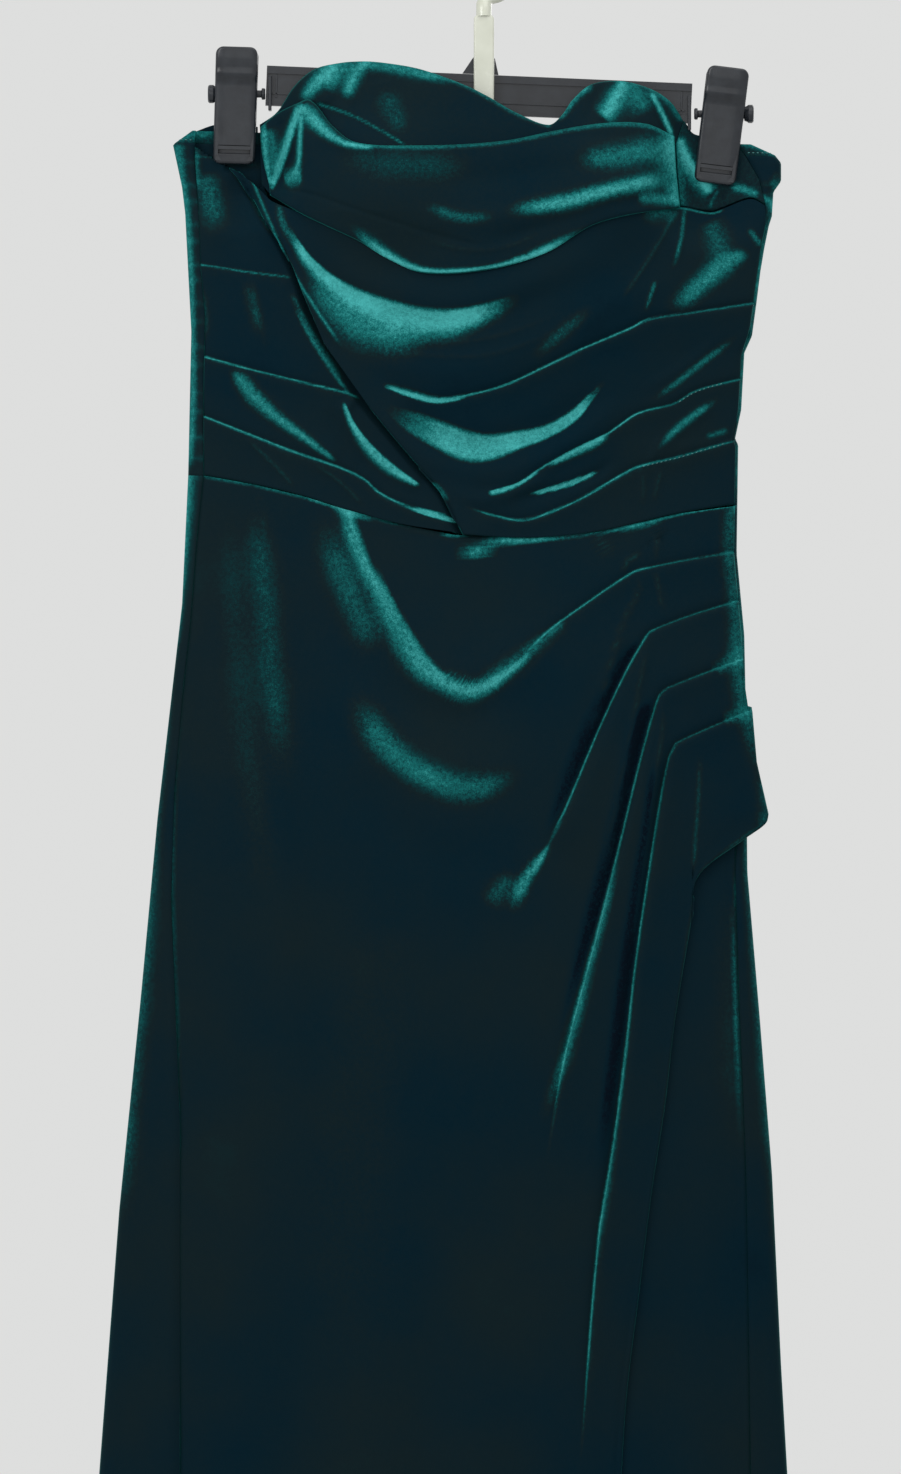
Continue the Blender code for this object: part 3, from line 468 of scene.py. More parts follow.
def painted_light_patches(x, z, painted_lights):
    """Painted highlight that the strokes lay at points; a stroke whose strength is below zero paints shade."""
    rest = np.ones_like(x)
    for painted_light in painted_lights:
        widest = max(point[2] for point in painted_light.points)
        near, side, along, width = beside(x, z, painted_light.points, 2.4 * widest + 3)
        away = np.abs(side) / np.maximum(width, 0.3)
        soft = np.exp(-0.9 * away**2.2)
        crisp = 1 - ease(away, 0.6, 1.15)
        use = {"both": away >= 0, "above": side > 0, "below": side < 0, "none": away < 0}[painted_light.crisp]
        level = np.where(use, crisp, soft) * faded(along, painted_light.fade)
        rest[near] *= 1 - np.minimum(painted_light.strength * level, 1)
    return 1 - rest


def rolled_in(x, z, lines):
    """How far the cloth turns back towards the body along edges that are given as (radius, points)."""
    turned = np.zeros_like(x)
    for radius, points in lines:
        near, side, _, _ = beside(x, z, points, radius + 2)
        inset = np.clip(np.abs(side) / radius, 0, 1)
        turned[near] = np.maximum(turned[near], radius * (1 - np.sqrt(1 - (1 - inset) ** 2)))
    return turned


print("fold kinds: pleat, roll, trough")

# %% [markdown]
# ## Making a cloth piece
# A grid primitive has the right number of rows and columns, so every vertex is moved to its place on the panel. The
# grid's rows follow the panel's own drape lines, which keeps a pleat's edge on one row and its line clean. Solidify
# then gives the cloth its thickness inwards.

# %% The cloth maker
CLOTH = 1.1


def fan(rows, cell, seam_left=None, seam_right=None, apart=0.25):
    """A grid of (x, z) between drape lines that run to the right, each kept under the one before it."""
    reach = np.arange(-215.0, 215.0, 0.5)
    curves = []
    ends = []
    for row in rows:
        points = [list(point) for point in row.points]
        if seam_left:
            points[0][0] = float(edge_at(seam_left, points[0][1]))
        if seam_right:
            points[-1][0] = float(edge_at(seam_right, points[-1][1]))
        line = smooth_line(points, 200)
        order = np.maximum.accumulate(line[:, 0])
        curve = np.interp(reach, order, line[:, 1])
        if curves:
            curve = np.minimum(curve, curves[-1] - apart)
        curves.append(curve)
        ends.append((line[0, 0], line[-1, 0]))
    longest = max(end - start for start, end in ends)
    across = np.linspace(0, 1, int(longest / cell) + 1)
    lines = []
    for curve, (start, end) in zip(curves, ends):
        x = start + (end - start) * across
        lines.append(np.stack([x, np.interp(x, reach, curve)], axis=1))
    grid = []
    for here, ahead in zip(lines, lines[1:]):
        steps = max(1, int(np.percentile(np.linalg.norm(ahead - here, axis=1), 85) / cell))
        for step in range(steps):
            grid.append(here + (ahead - here) * step / steps)
    grid.append(lines[-1])
    return np.array(grid)


def drawn_in(grid, gap=0.15):
    """Leaves a hair of room along the seams."""
    grid = grid.copy()
    for edge, inner in ((grid[0], grid[1]), (grid[-1], grid[-2]), (grid[:, 0], grid[:, 1]), (grid[:, -1], grid[:, -2])):
        run = inner - edge
        edge += run / np.maximum(np.linalg.norm(run, axis=1, keepdims=True), 1e-6) * gap
    return grid


def make_cloth(name, points, painted_sheen, outwards=1, thick=CLOTH, material=None):
    """points is rows x columns x 3 in millimetres, from the top down and to the right."""
    rows, columns = points.shape[:2]
    bm = bmesh.new()
    bmesh.ops.create_grid(bm, x_segments=columns - 1, y_segments=rows - 1, size=1)
    # This attribute holds painted highlight and painted shade for the velvet's base colour
    pile = bm.verts.layers.float.new("painted_sheen")
    clipped_painted_sheen = np.clip(painted_sheen, -0.3, 1)
    for vert in bm.verts:
        column = round((vert.co.x + 1) / 2 * (columns - 1))
        row = round((1 - vert.co.y) / 2 * (rows - 1))
        vert.co = Vector(points[row, column]) * MM
        vert[pile] = float(clipped_painted_sheen[row, column])
    if outwards < 0:
        bmesh.ops.reverse_faces(bm, faces=bm.faces)
    mesh = bpy.data.meshes.new(name)
    bm.to_mesh(mesh)
    bm.free()
    mesh.shade_smooth()
    mesh.materials.append(material or VELVET)
    obj = bpy.data.objects.new(name, mesh)
    bpy.context.scene.collection.objects.link(obj)
    wall = obj.modifiers.new("wall", "SOLIDIFY")
    wall.thickness = thick * MM
    wall.offset = -1
    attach(obj, "root")
    area = sum(face.area for face in mesh.polygons)
    print(name, rows, "x", columns, "area", round(area, 4), "m2")
    return obj


def front_piece(name, grid, folds=(), painted_lights=(), rolls=(), lift=None, right_edge=RIGHT_EDGE, tone=0.0):
    """A front panel: the form, plus lift, folds and rolled edges, and the painted light of folds and strokes."""
    flat = drawn_in(grid)
    x = flat[..., 0].ravel()
    z = flat[..., 1].ravel()
    height, painted_sheen = crease(x, z, folds)
    proud = height - rolled_in(x, z, rolls)
    if lift is not None:
        proud = proud + lift(x, z)
    y = front_y(x, z, right_edge) - proud
    painted_sheen = 1 - (1 - painted_sheen) * (1 - painted_light_patches(x, z, painted_lights)) + tone
    points = np.stack([x, y, z], axis=1).reshape(*flat.shape[:2], 3)
    return make_cloth(name, points, painted_sheen.reshape(flat.shape[:2]))


print("cloth maker ready, wall", CLOTH, "mm")

# %% [markdown]
# ## The draped bodice front
# This panel is pleated into the right side seam and falls in a cascade on the left, so its lines fan out from left to
# right. Under the bust the cloth hangs in two deep hollows, whose lower lips get the brightest painted highlights. The
# knife pleats have thin painted highlights along their edges.

# %% Bodice front
WAIST = (
    (-183, -350), (-150, -356), (-115, -364.5), (-95, -371), (-60, -381), (-20, -389), (30, -391), (74, -387),
    (127, -375), (164.3, -368.8),
)
BODICE_FRONT = (
    Row("top", (
        (-166, -149), (-158, -154), (-145, -165), (-138, -172), (-120, -180), (-81, -197), (-39, -214), (2, -212),
        (40, -202), (73, -186), (128, -175), (148, -178.2), (157, -175.4), (174, -169.6), (183.5, -174))),
    Row("crescent", (
        (-150, -171), (-130, -187), (-112, -207), (-90, -228), (-53, -243), (-15, -248), (23, -236), (75, -212),
        (128, -186), (150, -186), (182, -186))),
    Row("below_crescent", (
        (-144, -183), (-128, -200), (-110, -222), (-85, -246), (-53, -259), (-15, -262), (36, -248), (90, -222),
        (140, -205), (178, -202))),
    Row("bust_pleat", (
        (-128, -208), (-112, -232), (-90, -263), (-65, -290), (-45, -298), (-29, -301), (1, -294), (36, -281),
        (96, -256), (107, -250), (142, -242), (173, -233))),
    Row("under_bust_pleat", (
        (-124.5, -215), (-110, -239), (-89, -269), (-65, -295), (-45, -302), (-29, -305), (2, -298), (37, -285),
        (97, -260), (108, -254), (143, -246), (173, -236.5))),
    Row("lens_top", (
        (-118, -232), (-104, -254), (-86, -280), (-65, -301), (-38, -311), (-7, -322), (23, -322), (45, -316),
        (65, -302), (90, -284), (125, -266), (168, -252))),
    Row("lens_foot", (
        (-104, -265), (-92, -279), (-75, -297.5), (-58, -315), (-39, -330), (-18, -341), (-1, -342), (21, -335),
        (57, -322), (100, -296), (140, -281), (163, -272))),
    Row("rib_pleat", (
        (-72, -310), (-64, -317), (-52, -329), (-40, -342), (-20, -357), (1, -361), (19, -356), (31, -352),
        (57, -337), (79, -326), (100, -310), (126, -304), (162, -288))),
    Row("under_rib_pleat", (
        (-58, -327), (-50, -334.4), (-40, -344), (-20, -360.5), (2, -364.5), (20, -359.5), (32, -355.5),
        (58, -340.5), (80, -329.5), (101, -313.5), (127, -307.5), (162, -291.5))),
    Row("small_lens", (
        (-46, -341), (-34, -350.8), (-20, -362.6), (0, -368.5), (29, -363), (52, -355), (75, -344), (110, -330),
        (163.5, -308))),
    Row("waist_pleat", (
        (-34, -354.3), (-27, -360), (-12, -369.5), (10, -377), (27, -380), (52, -370), (74, -359), (101, -344),
        (127, -337), (161.5, -328))),
    Row("under_waist_pleat", (
        (-28, -361), (-18, -368.5), (-6, -375.5), (10, -381.5), (28, -384), (54, -374), (77, -362.5), (103, -347.5),
        (129, -340.5), (161.5, -331.5))),
    Row("waist", ((-14, -389.2), (30, -391), (74, -387), (127, -375), (161.6, -369))),
)
CASCADE_EDGE = (
    (-166, -149), (-160, -153), (-156, -160), (-150, -171), (-144, -183), (-135, -194), (-122, -221), (-110, -255),
    (-86, -293), (-64, -320), (-46, -341), (-27, -362), (-14, -389.2))
BUST_PLEAT = (
    (-66, -292), (-49, -297), (-30, -301), (-15.6, -299.5), (11.7, -292.7), (39, -280.4), (66.5, -267.4),
    (93.9, -255.8), (106.2, -249.6), (134.9, -244.8), (176, -237.9))
RIB_PLEAT = (
    (2, -362.5), (20, -357), (39, -344.7), (59.7, -333.1), (80.2, -323.5), (87.1, -318.7), (100.8, -309.8),
    (124, -303.6), (137.7, -295.4), (168, -287.2))
WAIST_PLEAT = (
    (-12.9, -370.7), (4.9, -376.1), (25.4, -379.6), (46, -373.4), (66.5, -363.9), (87, -351.5), (100.8, -344.7),
    (128, -337.9), (165, -327))
FRONT_FOLDS = (
    Fold("pleat", 4.2, 13, 0.86, (0.08, 0), BUST_PLEAT),
    Fold("pleat", 3.6, 10, 0.8, (0.10, 0), RIB_PLEAT),
    Fold("pleat", 3.4, 9, 0.78, (0.12, 0), WAIST_PLEAT),
    Fold("roll", 3.0, 13, 0, (0.15, 0.3), (
        (-131, -172), (-118, -200), (-96, -218), (-53, -233), (-15, -238), (30, -226), (80, -200), (128, -186))),
    Fold("trough", 3.5, 9, 0, (0.15, 0.3), (
        (-128, -190), (-112, -214), (-85, -236), (-50, -250), (-15, -252), (26, -240), (70, -218))),
    Fold("roll", 2.6, 12, 0, (0.2, 0.3), (
        (-120, -226), (-96, -252), (-66, -276), (-30, -284), (10, -276), (50, -258), (100, -232), (150, -214))),
    Fold("trough", 3.2, 9, 0, (0.2, 0.2), ((-70, -300), (-46, -314), (-12, -330), (22, -327), (56, -311), (84, -286))),
    Fold("roll", 2.2, 8, 0, (0.2, 0.2), ((-56, -322), (-30, -342), (0, -350), (30, -343), (64, -322), (100, -296))),
    Fold("roll", 2.0, 5, 0, (0.3, 0.3), ((-24, -352), (-18, -361), (-4, -366), (20, -362), (52, -345))),
    Fold("trough", 2.0, 3.5, 0, (0.25, 0.25), ((14, -368), (40, -361), (66, -352), (80, -344), (86, -336))),
    Fold("roll", 1.0, 4, 0, (0.3, 0.3), ((100, -296), (121, -285), (140, -272), (158, -257))),
    Fold("roll", 1.2, 4, 0, (0.3, 0.3), ((106, -342), (122, -326), (138, -313), (156, -302))),
    Fold("roll", 1.1, 2.5, 0.42, (0.05, 0.3), ((130.8, -176.4), (128.1, -196.9), (122.6, -217.4))),
    Fold("roll", 0.8, 2.5, 0.16, (0.05, 0.2), ((126.8, -176.4), (107.6, -209.2), (88.4, -237.9))),
    Fold("roll", 0.8, 2.5, 0.4, (0.2, 0.3), ((111.7, -223), (104.8, -244.8))),
    Fold("roll", 0.6, 3, 0, (0.2, 0.4), ((104, -345), (110, -338), (114, -328), (120, -318))),
    Fold("roll", 0.7, 3, 0.06, (0.2, 0.4), ((103, -348), (104, -360), (103, -372))),
    Fold("roll", 0.7, 3, 0.08, (0.2, 0.4), ((116, -346), (113, -356), (110, -370))),
    Fold("roll", 0.6, 2.2, 0.05, (0.3, 0.3), ((-120, -246), (-60, -262), (0, -262), (60, -242))),
    Fold("roll", 0.6, 2.2, 0.05, (0.3, 0.3), ((-98, -268), (-50, -272), (5, -272), (60, -252))),
    Fold("roll", 1.8, 2.0, 0.5, (0, 0.15), (
        (-150.8, -158), (-145.3, -171.6), (-135.9, -193.5), (-122, -222.3), (-108.3, -244.1), (-90.5, -270.1))),
    Fold("trough", 1.6, 2.2, 0, (0, 0.15), (
        (-153, -165), (-148, -176), (-139, -196), (-125.5, -226), (-112, -249), (-95, -273))),
)
# Painted highlights on the bodice front
FRONT_PAINTED_LIGHT = (
    PaintedLight(0.97, "above", (0.12, 0.2), (
        (-128.8, -188, 2), (-116.5, -208.5, 3.5), (-100.1, -225, 5), (-80.9, -237.3, 7), (-60.5, -245.5, 8.5),
        (-39.9, -251, 9.5), (-22.1, -251, 8.5), (-5.7, -246.9, 6.5), (11.7, -240.7, 5), (26, -235, 3.5))),
    PaintedLight(0.55, "none", (0.3, 0.3), (
        (-118, -216, 4), (-100, -237, 8), (-80, -252, 12), (-55, -260, 11), (-30, -262, 6))),
    PaintedLight(0.9, "both", (0.3, 0.15), (
        (-66, -304, 1.5), (-58, -310, 4.5), (-46.8, -315.9, 7.5), (-28.6, -324.4, 9.5), (-11, -331.5, 10.5),
        (3.9, -332.2, 9), (22.1, -327.6, 6.5), (41.6, -321.8, 4.6), (57.9, -312, 4), (68.9, -300.3, 2.6),
        (79.3, -288.6, 1.2))),
    PaintedLight(0.9, "below", (0.1, 0.2), (
        (-66, -292, 1.2), (-49.4, -297.5, 2.2), (-33, -302, 2.2), (-20, -301.5, 1.5), (-8, -299, 0.9))),
    PaintedLight(0.9, "above", (0.1, 0.1), ((2, -362.5, 1.6), (12, -360, 1.8), (24, -355.4, 1.2), (36, -347.5, 0.9))),
    PaintedLight(0.9, "above", (0.2, 0.15), ((40, -345.6, 1), (56, -337, 2.2), (70, -330.5, 2.6), (82, -323.5, 1.6))),
    PaintedLight(0.9, "both", (0.15, 0.15), ((28.2, -363.2, 0.9), (46, -358.6, 2.0), (61, -353.8, 2.0), (76, -347.4, 1.0))),
    PaintedLight(0.42, "none", (0.3, 0.3), (
        (107.6, -302.3, 1.4), (121.2, -293.4, 2), (137.7, -280.4, 2.2), (155.5, -266.7, 2), (166.4, -258.5, 1.4))),
    PaintedLight(0.5, "none", (0.3, 0.3), ((111.7, -335.1, 1.4), (124, -321.4, 2.3), (137.7, -310.5, 2.4), (154, -299.5, 1.6))),
    PaintedLight(0.35, "none", (0.3, 0.3), ((143, -325.5, 1.4), (160.9, -320.1, 1.8))),
    PaintedLight(0.6, "none", (0.15, 0.35), (
        (175, -205.5, 2), (165, -208, 4.5), (156.9, -211.9, 6.5), (141.7, -225.6, 6), (126.8, -237.9, 5.5),
        (116, -243, 4))),
    PaintedLight(0.45, "none", (0.3, 0.2), ((171.9, -188.7, 1.6), (181.4, -201, 2.2))),
    PaintedLight(0.26, "none", (0.35, 0.35), ((72, -240, 3), (52, -257, 4), (30, -276, 3))),
    PaintedLight(0.28, "none", (0.3, 0.3), ((100, -182, 5), (118, -180, 6), (128, -184, 5))),
    PaintedLight(0.5, "none", (0.2, 0.1), ((108, -178.5, 1), (128, -176, 0.9), (148, -179.2, 0.8), (158, -176.4, 0.8))),
    PaintedLight(0.3, "none", (0.2, 0.5), ((146, -182, 7), (152, -196, 8), (150, -214, 7))),
    PaintedLight(0.35, "none", (0.2, 0.3), ((-134, -172, 1.5), (-131, -186, 2.6), (-124, -200, 2.6))),
    PaintedLight(0.4, "none", (0.1, 0.4), ((-34, -355, 1.5), (-28, -361, 2.2), (-22, -369, 1))),
)


def front_lift(x, z):
    """The cascade lies over the side panel."""
    near, side, _, _ = beside(x, z, CASCADE_EDGE, 40)
    lift = np.zeros_like(x)
    lift[near] = CASCADE_LIFT * (1 - ease(np.abs(side), 3, 26))
    return lift


def side_tuck(x, z):
    """The side panel sinks a little where the cascade covers it."""
    near, side, _, _ = beside(x, z, CASCADE_EDGE, 40)
    tuck = np.zeros_like(x)
    tuck[near] = -SIDE_TUCK * ease(side, -5, 3)
    return tuck


CASCADE_LIFT = 4.2
SIDE_TUCK = 6.5
front_grid = fan(BODICE_FRONT, 1.45, seam_right=RIGHT_SEAM)
bodice_front = front_piece(
    "draped_front", front_grid, FRONT_FOLDS, FRONT_PAINTED_LIGHT,
    rolls=((2.4, CASCADE_EDGE), (1.0, WAIST[5:]), (1.2, part_of(RIGHT_SEAM, -187, -369))), lift=front_lift)
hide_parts("bodice_front")

# %% [markdown]
# ## The side panels
# The left side panel runs from the bust seam under the clip down to the waist, with three pleats sewn into the side
# seam. Its inner part goes on under the cascade. The small right panel fills the corner under the right clip.

# %% Side panels
SIDE_LEFT = (
    Row("top", ((-188, -125), (-177, -121), (-163, -119), (-149, -122))),
    Row("bust_seam", ((-189, -142), (-176, -146), (-162, -148), (-147.5, -149))),
    Row("under_arm", ((-186, -180), (-165, -184), (-142, -178))),
    Row("first_pleat", ((-185, -213), (-170, -215), (-154, -218), (-123, -215))),
    Row("under_first", ((-185, -216.5), (-170, -218.5), (-154, -221.5), (-121, -219))),
    Row("rib", ((-182, -246), (-150, -253), (-106, -257))),
    Row("second_pleat", ((-182.6, -274), (-141, -284), (-110, -291), (-83, -294))),
    Row("under_second", ((-182.6, -277.5), (-141, -287.5), (-110, -294.5), (-80, -298))),
    Row("flank", ((-183, -295), (-130, -308), (-90, -322), (-42, -344))),
    Row("third_pleat", (
        (-183, -313), (-158, -322), (-133, -332), (-110, -340), (-88, -348), (-72, -358), (-55, -367), (-19, -378))),
    Row("under_third", (
        (-183, -316.5), (-158, -325.5), (-133, -335.5), (-110, -343.5), (-88, -351.5), (-72, -362), (-55, -371),
        (-17, -383))),
    Row("waist", ((-183, -350), (-150, -356), (-115, -364.5), (-95, -371), (-60, -381), (-15, -389.2))),
)
SIDE_RIGHT = (
    Row("top", ((131, -119), (137, -127), (150, -129), (163.6, -131))),
    Row("clip_line", ((125.5, -134), (140, -138), (155, -140), (172.6, -142))),
    Row("jaw_foot", ((126.5, -155), (142, -158), (158, -156), (182.6, -158))),
    Row("gathers", ((127.5, -166), (145, -170), (158, -168), (182, -167))),
    Row("foot", ((128.5, -174.2), (148, -177.4), (157, -174.6), (174, -168.8), (183.5, -173.4))),
)
LEFT_UNDER = (
    (-147.5, -119), (-147.5, -149), (-142, -172), (-128, -192), (-114, -222), (-102, -255), (-78, -293),
    (-56, -320), (-38, -341), (-20, -362), (-8, -389.2))


def under_cascade(rows, edge):
    """Ends each drape line on the hidden edge below the cascade."""
    line = smooth_line(edge, 300)
    ended = []
    for row in rows:
        points = [point for point in row.points]
        last = points[-1]
        gap = np.hypot(line[:, 0] - last[0], 2.5 * (line[:, 1] - last[1]))
        stop = line[int(gap.argmin())]
        ended.append(Row(row.name, tuple(points[:-1]) + ((float(stop[0]), float(stop[1])),)))
    return ended


FIRST_PLEAT = ((-186.3, -212.6), (-169.9, -215.4), (-149.4, -218.8), (-123.4, -222.2))
SECOND_PLEAT = ((-182.2, -272.9), (-150, -282), (-116, -290.5), (-87.8, -297.5), (-80, -301))
THIRD_PLEAT = (
    (-182.2, -311.9), (-158, -321.5), (-125, -334.5), (-92, -346.1), (-78, -353), (-67.3, -362.5), (-48, -371.4),
    (-18, -381.6))
SIDE_FOLDS = (
    Fold("pleat", 1.2, 8, 0.55, (0, 0.1), FIRST_PLEAT),
    Fold("pleat", 3.0, 11, 0.76, (0, 0.05), SECOND_PLEAT),
    Fold("pleat", 3.0, 10, 0.76, (0, 0.05), THIRD_PLEAT),
    Fold("pleat", 0.9, 6, 0.26, (0, 0.1), ((-189, -142), (-176, -143), (-166, -147), (-158, -158), (-150, -170))),
    Fold("roll", 2.0, 6, 0, (0.2, 0.1), ((-166, -285), (-149.5, -299.5), (-135.9, -311.9), (-115.2, -327), (-94, -343))),
    Fold("roll", 2.4, 5, 0, (0.1, 0.1), ((-92, -300), (-85, -318.7), (-74.1, -333.8), (-60.5, -346.1), (-40, -358))),
    Fold("trough", 1.2, 4, 0, (0.2, 0.2), ((-104, -306), (-92, -326), (-80, -344), (-76, -352))),
    Fold("roll", 0.7, 2.4, 0.12, (0.2, 0.2), ((-156, -325), (-136, -344), (-122, -359))),
    Fold("roll", 0.7, 2.4, 0.10, (0.2, 0.2), ((-112, -342), (-92, -356), (-78, -371))),
    Fold("roll", 1.4, 9, 0, (0.2, 0.3), ((-178, -152), (-176, -180), (-172, -206))),
    Fold("trough", 1.3, 7, 0, (0.2, 0.3), ((-164, -150), (-158, -180), (-150, -210))),
    Fold("roll", 1.0, 5, 0.05, (0.2, 0.3), ((-152, -220), (-147, -245), (-141, -272))),
    Fold("roll", 1.1, 3, 0.22, (0, 0.2), ((-164.4, -149.7), (-154.8, -163.4), (-145.3, -181.2), (-137, -196))),
    Fold("roll", 1.2, 3, 0.3, (0.1, 0.2), ((-126, -231), (-118, -246), (-106.5, -266), (-90, -291))),
)
# Painted highlights on the left side panel
SIDE_PAINTED_LIGHT = (
    PaintedLight(0.62, "none", (0.12, 0.1), (
        (-166, -280, 2), (-157, -290, 4.5), (-149.5, -299.5, 5), (-135.9, -311.9, 3.8), (-115.2, -327, 2.6),
        (-94.6, -342.7, 1.2))),
    PaintedLight(0.85, "above", (0.06, 0.06), (
        (-91.9, -302.3, 1.2), (-85, -318.7, 2.2), (-74.1, -333.8, 3.4), (-60.5, -346.1, 3.4), (-41.3, -357.7, 1.2))),
    PaintedLight(0.85, "both", (0.2, 0.1), ((-50, -371.4, 0.8), (-38, -374.5, 2.2), (-24, -378.5, 2.0), (-16, -381, 1.2))),
    PaintedLight(0.3, "none", (0.2, 0.4), ((-181, -150, 7), (-178, -170, 8), (-174, -196, 7))),
    PaintedLight(0.22, "none", (0.3, 0.4), ((-155, -222, 4), (-149, -245, 4), (-145, -262, 4))),
    PaintedLight(0.2, "none", (0.3, 0.4), ((-184, -226, 2), (-182, -250, 3), (-183, -266, 2))),
    PaintedLight(0.3, "none", (0.0, 0.2), ((-186, -128, 3), (-188, -140, 3), (-186, -165, 2))),
    PaintedLight(0.42, "none", (0.2, 0.2), ((-125, -238, 1), (-112, -262, 1.6), (-97, -285, 1.6), (-84, -302, 1))),
)
side_grid = fan(under_cascade(SIDE_LEFT, LEFT_UNDER), 1.3, seam_left=LEFT_SEAM)
side_left = front_piece(
    "side_panel_left", side_grid, SIDE_FOLDS, SIDE_PAINTED_LIGHT,
    rolls=((1.0, WAIST[:7]), (1.4, part_of(LEFT_SEAM, -125, -350))), lift=side_tuck)
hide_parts("bodice_side_left")

RIGHT_FOLDS = (
    Fold("roll", 1.2, 3, 0.3, (0.1, 0.1), ((129.4, -135.2), (137.8, -151.8), (148.6, -167))),
    Fold("roll", 0.8, 2, 0.2, (0.2, 0.1), ((154, -162), (150, -169), (147, -176))),
    Fold("trough", 1.0, 2, 0, (0.2, 0.1), ((158, -162), (156, -169), (157, -175))),
)
# Painted highlights on the right side panel
RIGHT_PAINTED_LIGHT = (
    PaintedLight(0.72, "none", (0.0, 0.1), ((128.5, -133, 3), (133, -145, 4), (138, -153, 5), (149, -167, 4.5))),
    PaintedLight(0.5, "none", (0.2, 0.2), ((160, -161, 2), (170, -163.5, 2.6), (180, -168, 2.2))),
    PaintedLight(0.3, "none", (0, 0), ((127, -140, 4), (128, -172, 4))),
)
right_grid = fan(SIDE_RIGHT, 1.1, seam_right=RIGHT_SEAM)
side_right = front_piece(
    "side_panel_right", right_grid, RIGHT_FOLDS, RIGHT_PAINTED_LIGHT, rolls=((1.0, SIDE_RIGHT[-1].points),), tone=0.12)
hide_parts("bodice_side_right")

# %% [markdown]
# ## The bust and its cowl
# The inner bust has a sweetheart top edge, turned over a soft roll. The cowl is a second layer that hangs across it
# from gathers at both ends, so it stands proud and its top edge rolls back. Its gathers meet at two points, where
# the seams pinch.

# %% Bust and cowl
BUST_FRONT = (
    Row("sweetheart", (
        (-146.5, -121), (-135, -113), (-123, -96), (-108, -85), (-81, -81), (-58, -83), (-39, -87), (-12, -97),
        (2, -104), (21, -115), (42, -123), (51, -116), (57, -107), (70, -96), (90, -94), (109, -99), (122, -107),
        (130, -118))),
    Row("turned_edge", (
        (-146, -127), (-133, -119), (-119, -105), (-104, -95), (-81, -91), (-58, -93), (-39, -97), (-12, -107),
        (2, -114), (21, -124), (42, -131), (54, -125), (64, -115), (74, -107), (90, -104), (107, -109), (120, -115),
        (134, -124))),
    Row("behind_cowl", ((-146, -142), (-100, -136), (-50, -138), (42, -150), (90, -136), (134, -145))),
    Row("foot", (
        (-145, -160), (-138, -168), (-120, -177), (-81, -194), (-39, -210.5), (2, -209), (40, -199), (73, -183),
        (124, -173))),
)
COWL = (
    Row("top", (
        (-146, -123), (-135, -114), (-121, -108), (-114, -106), (-107, -112), (-99, -123), (-83, -135), (-47, -137),
        (10, -134), (46, -127), (78, -122), (105, -122), (124, -129))),
    Row("roll", (
        (-146, -130), (-135, -121), (-121, -115), (-110, -118), (-98, -131), (-80, -142), (-47, -144), (10, -141),
        (46, -134), (78, -129), (105, -129), (124.5, -136))),
    Row("hollow", (
        (-145, -140), (-130, -135), (-112, -136), (-90, -150), (-47, -157), (10, -154), (60, -145), (105, -142),
        (125, -148))),
    Row("belly", (
        (-143, -150), (-125, -155), (-90, -168), (-47, -178), (10, -176), (60, -163), (105, -155), (126, -158))),
    Row("fall", (
        (-140, -161), (-120, -173), (-100, -184), (-81, -194), (-64, -204), (-39, -214), (2, -212), (40, -201),
        (73, -182), (127.5, -171))),
    Row("foot", (
        (-139.5, -168), (-120, -180.5), (-100, -190.5), (-81, -199.5), (-64, -210), (-39, -220), (2, -218), (40, -207),
        (73, -188), (128, -176))),
)
LINING_EDGE = ((-113.8, -106.6), (-100, -110), (-87.8, -115.5), (-67.3, -126.4), (-48.1, -137.4))
BUST_FOLDS = (
    Fold("roll", 1.6, 5, 0, (0, 0.2), ((-108, -85), (-104, -98), (-100, -110))),
    Fold("roll", 1.4, 5, 0, (0, 0.3), ((-88, -82), (-88, -96), (-84, -112))),
    Fold("trough", 1.4, 5, 0, (0, 0.3), ((-98, -84), (-95, -98), (-92, -112))),
    Fold("roll", 1.4, 6, 0, (0.1, 0.3), ((-66, -92), (-60, -114), (-54, -128))),
    Fold("pleat", -1.8, 9, 0, (0.1, 0.1), LINING_EDGE),
    Fold("roll", 1.6, 4, 0, (0, 0.2), ((90, -95), (84, -110), (76, -122))),
    Fold("trough", 1.6, 5, 0, (0, 0.2), ((76, -97), (71, -110), (66, -124))),
    Fold("roll", 1.4, 2.4, 0.5, (0.1, 0), ((108, -101), (114, -111), (119, -121), (123, -130))),
    Fold("trough", 1.2, 2.4, 0, (0.1, 0), ((104, -104), (110, -114), (115, -124))),
)
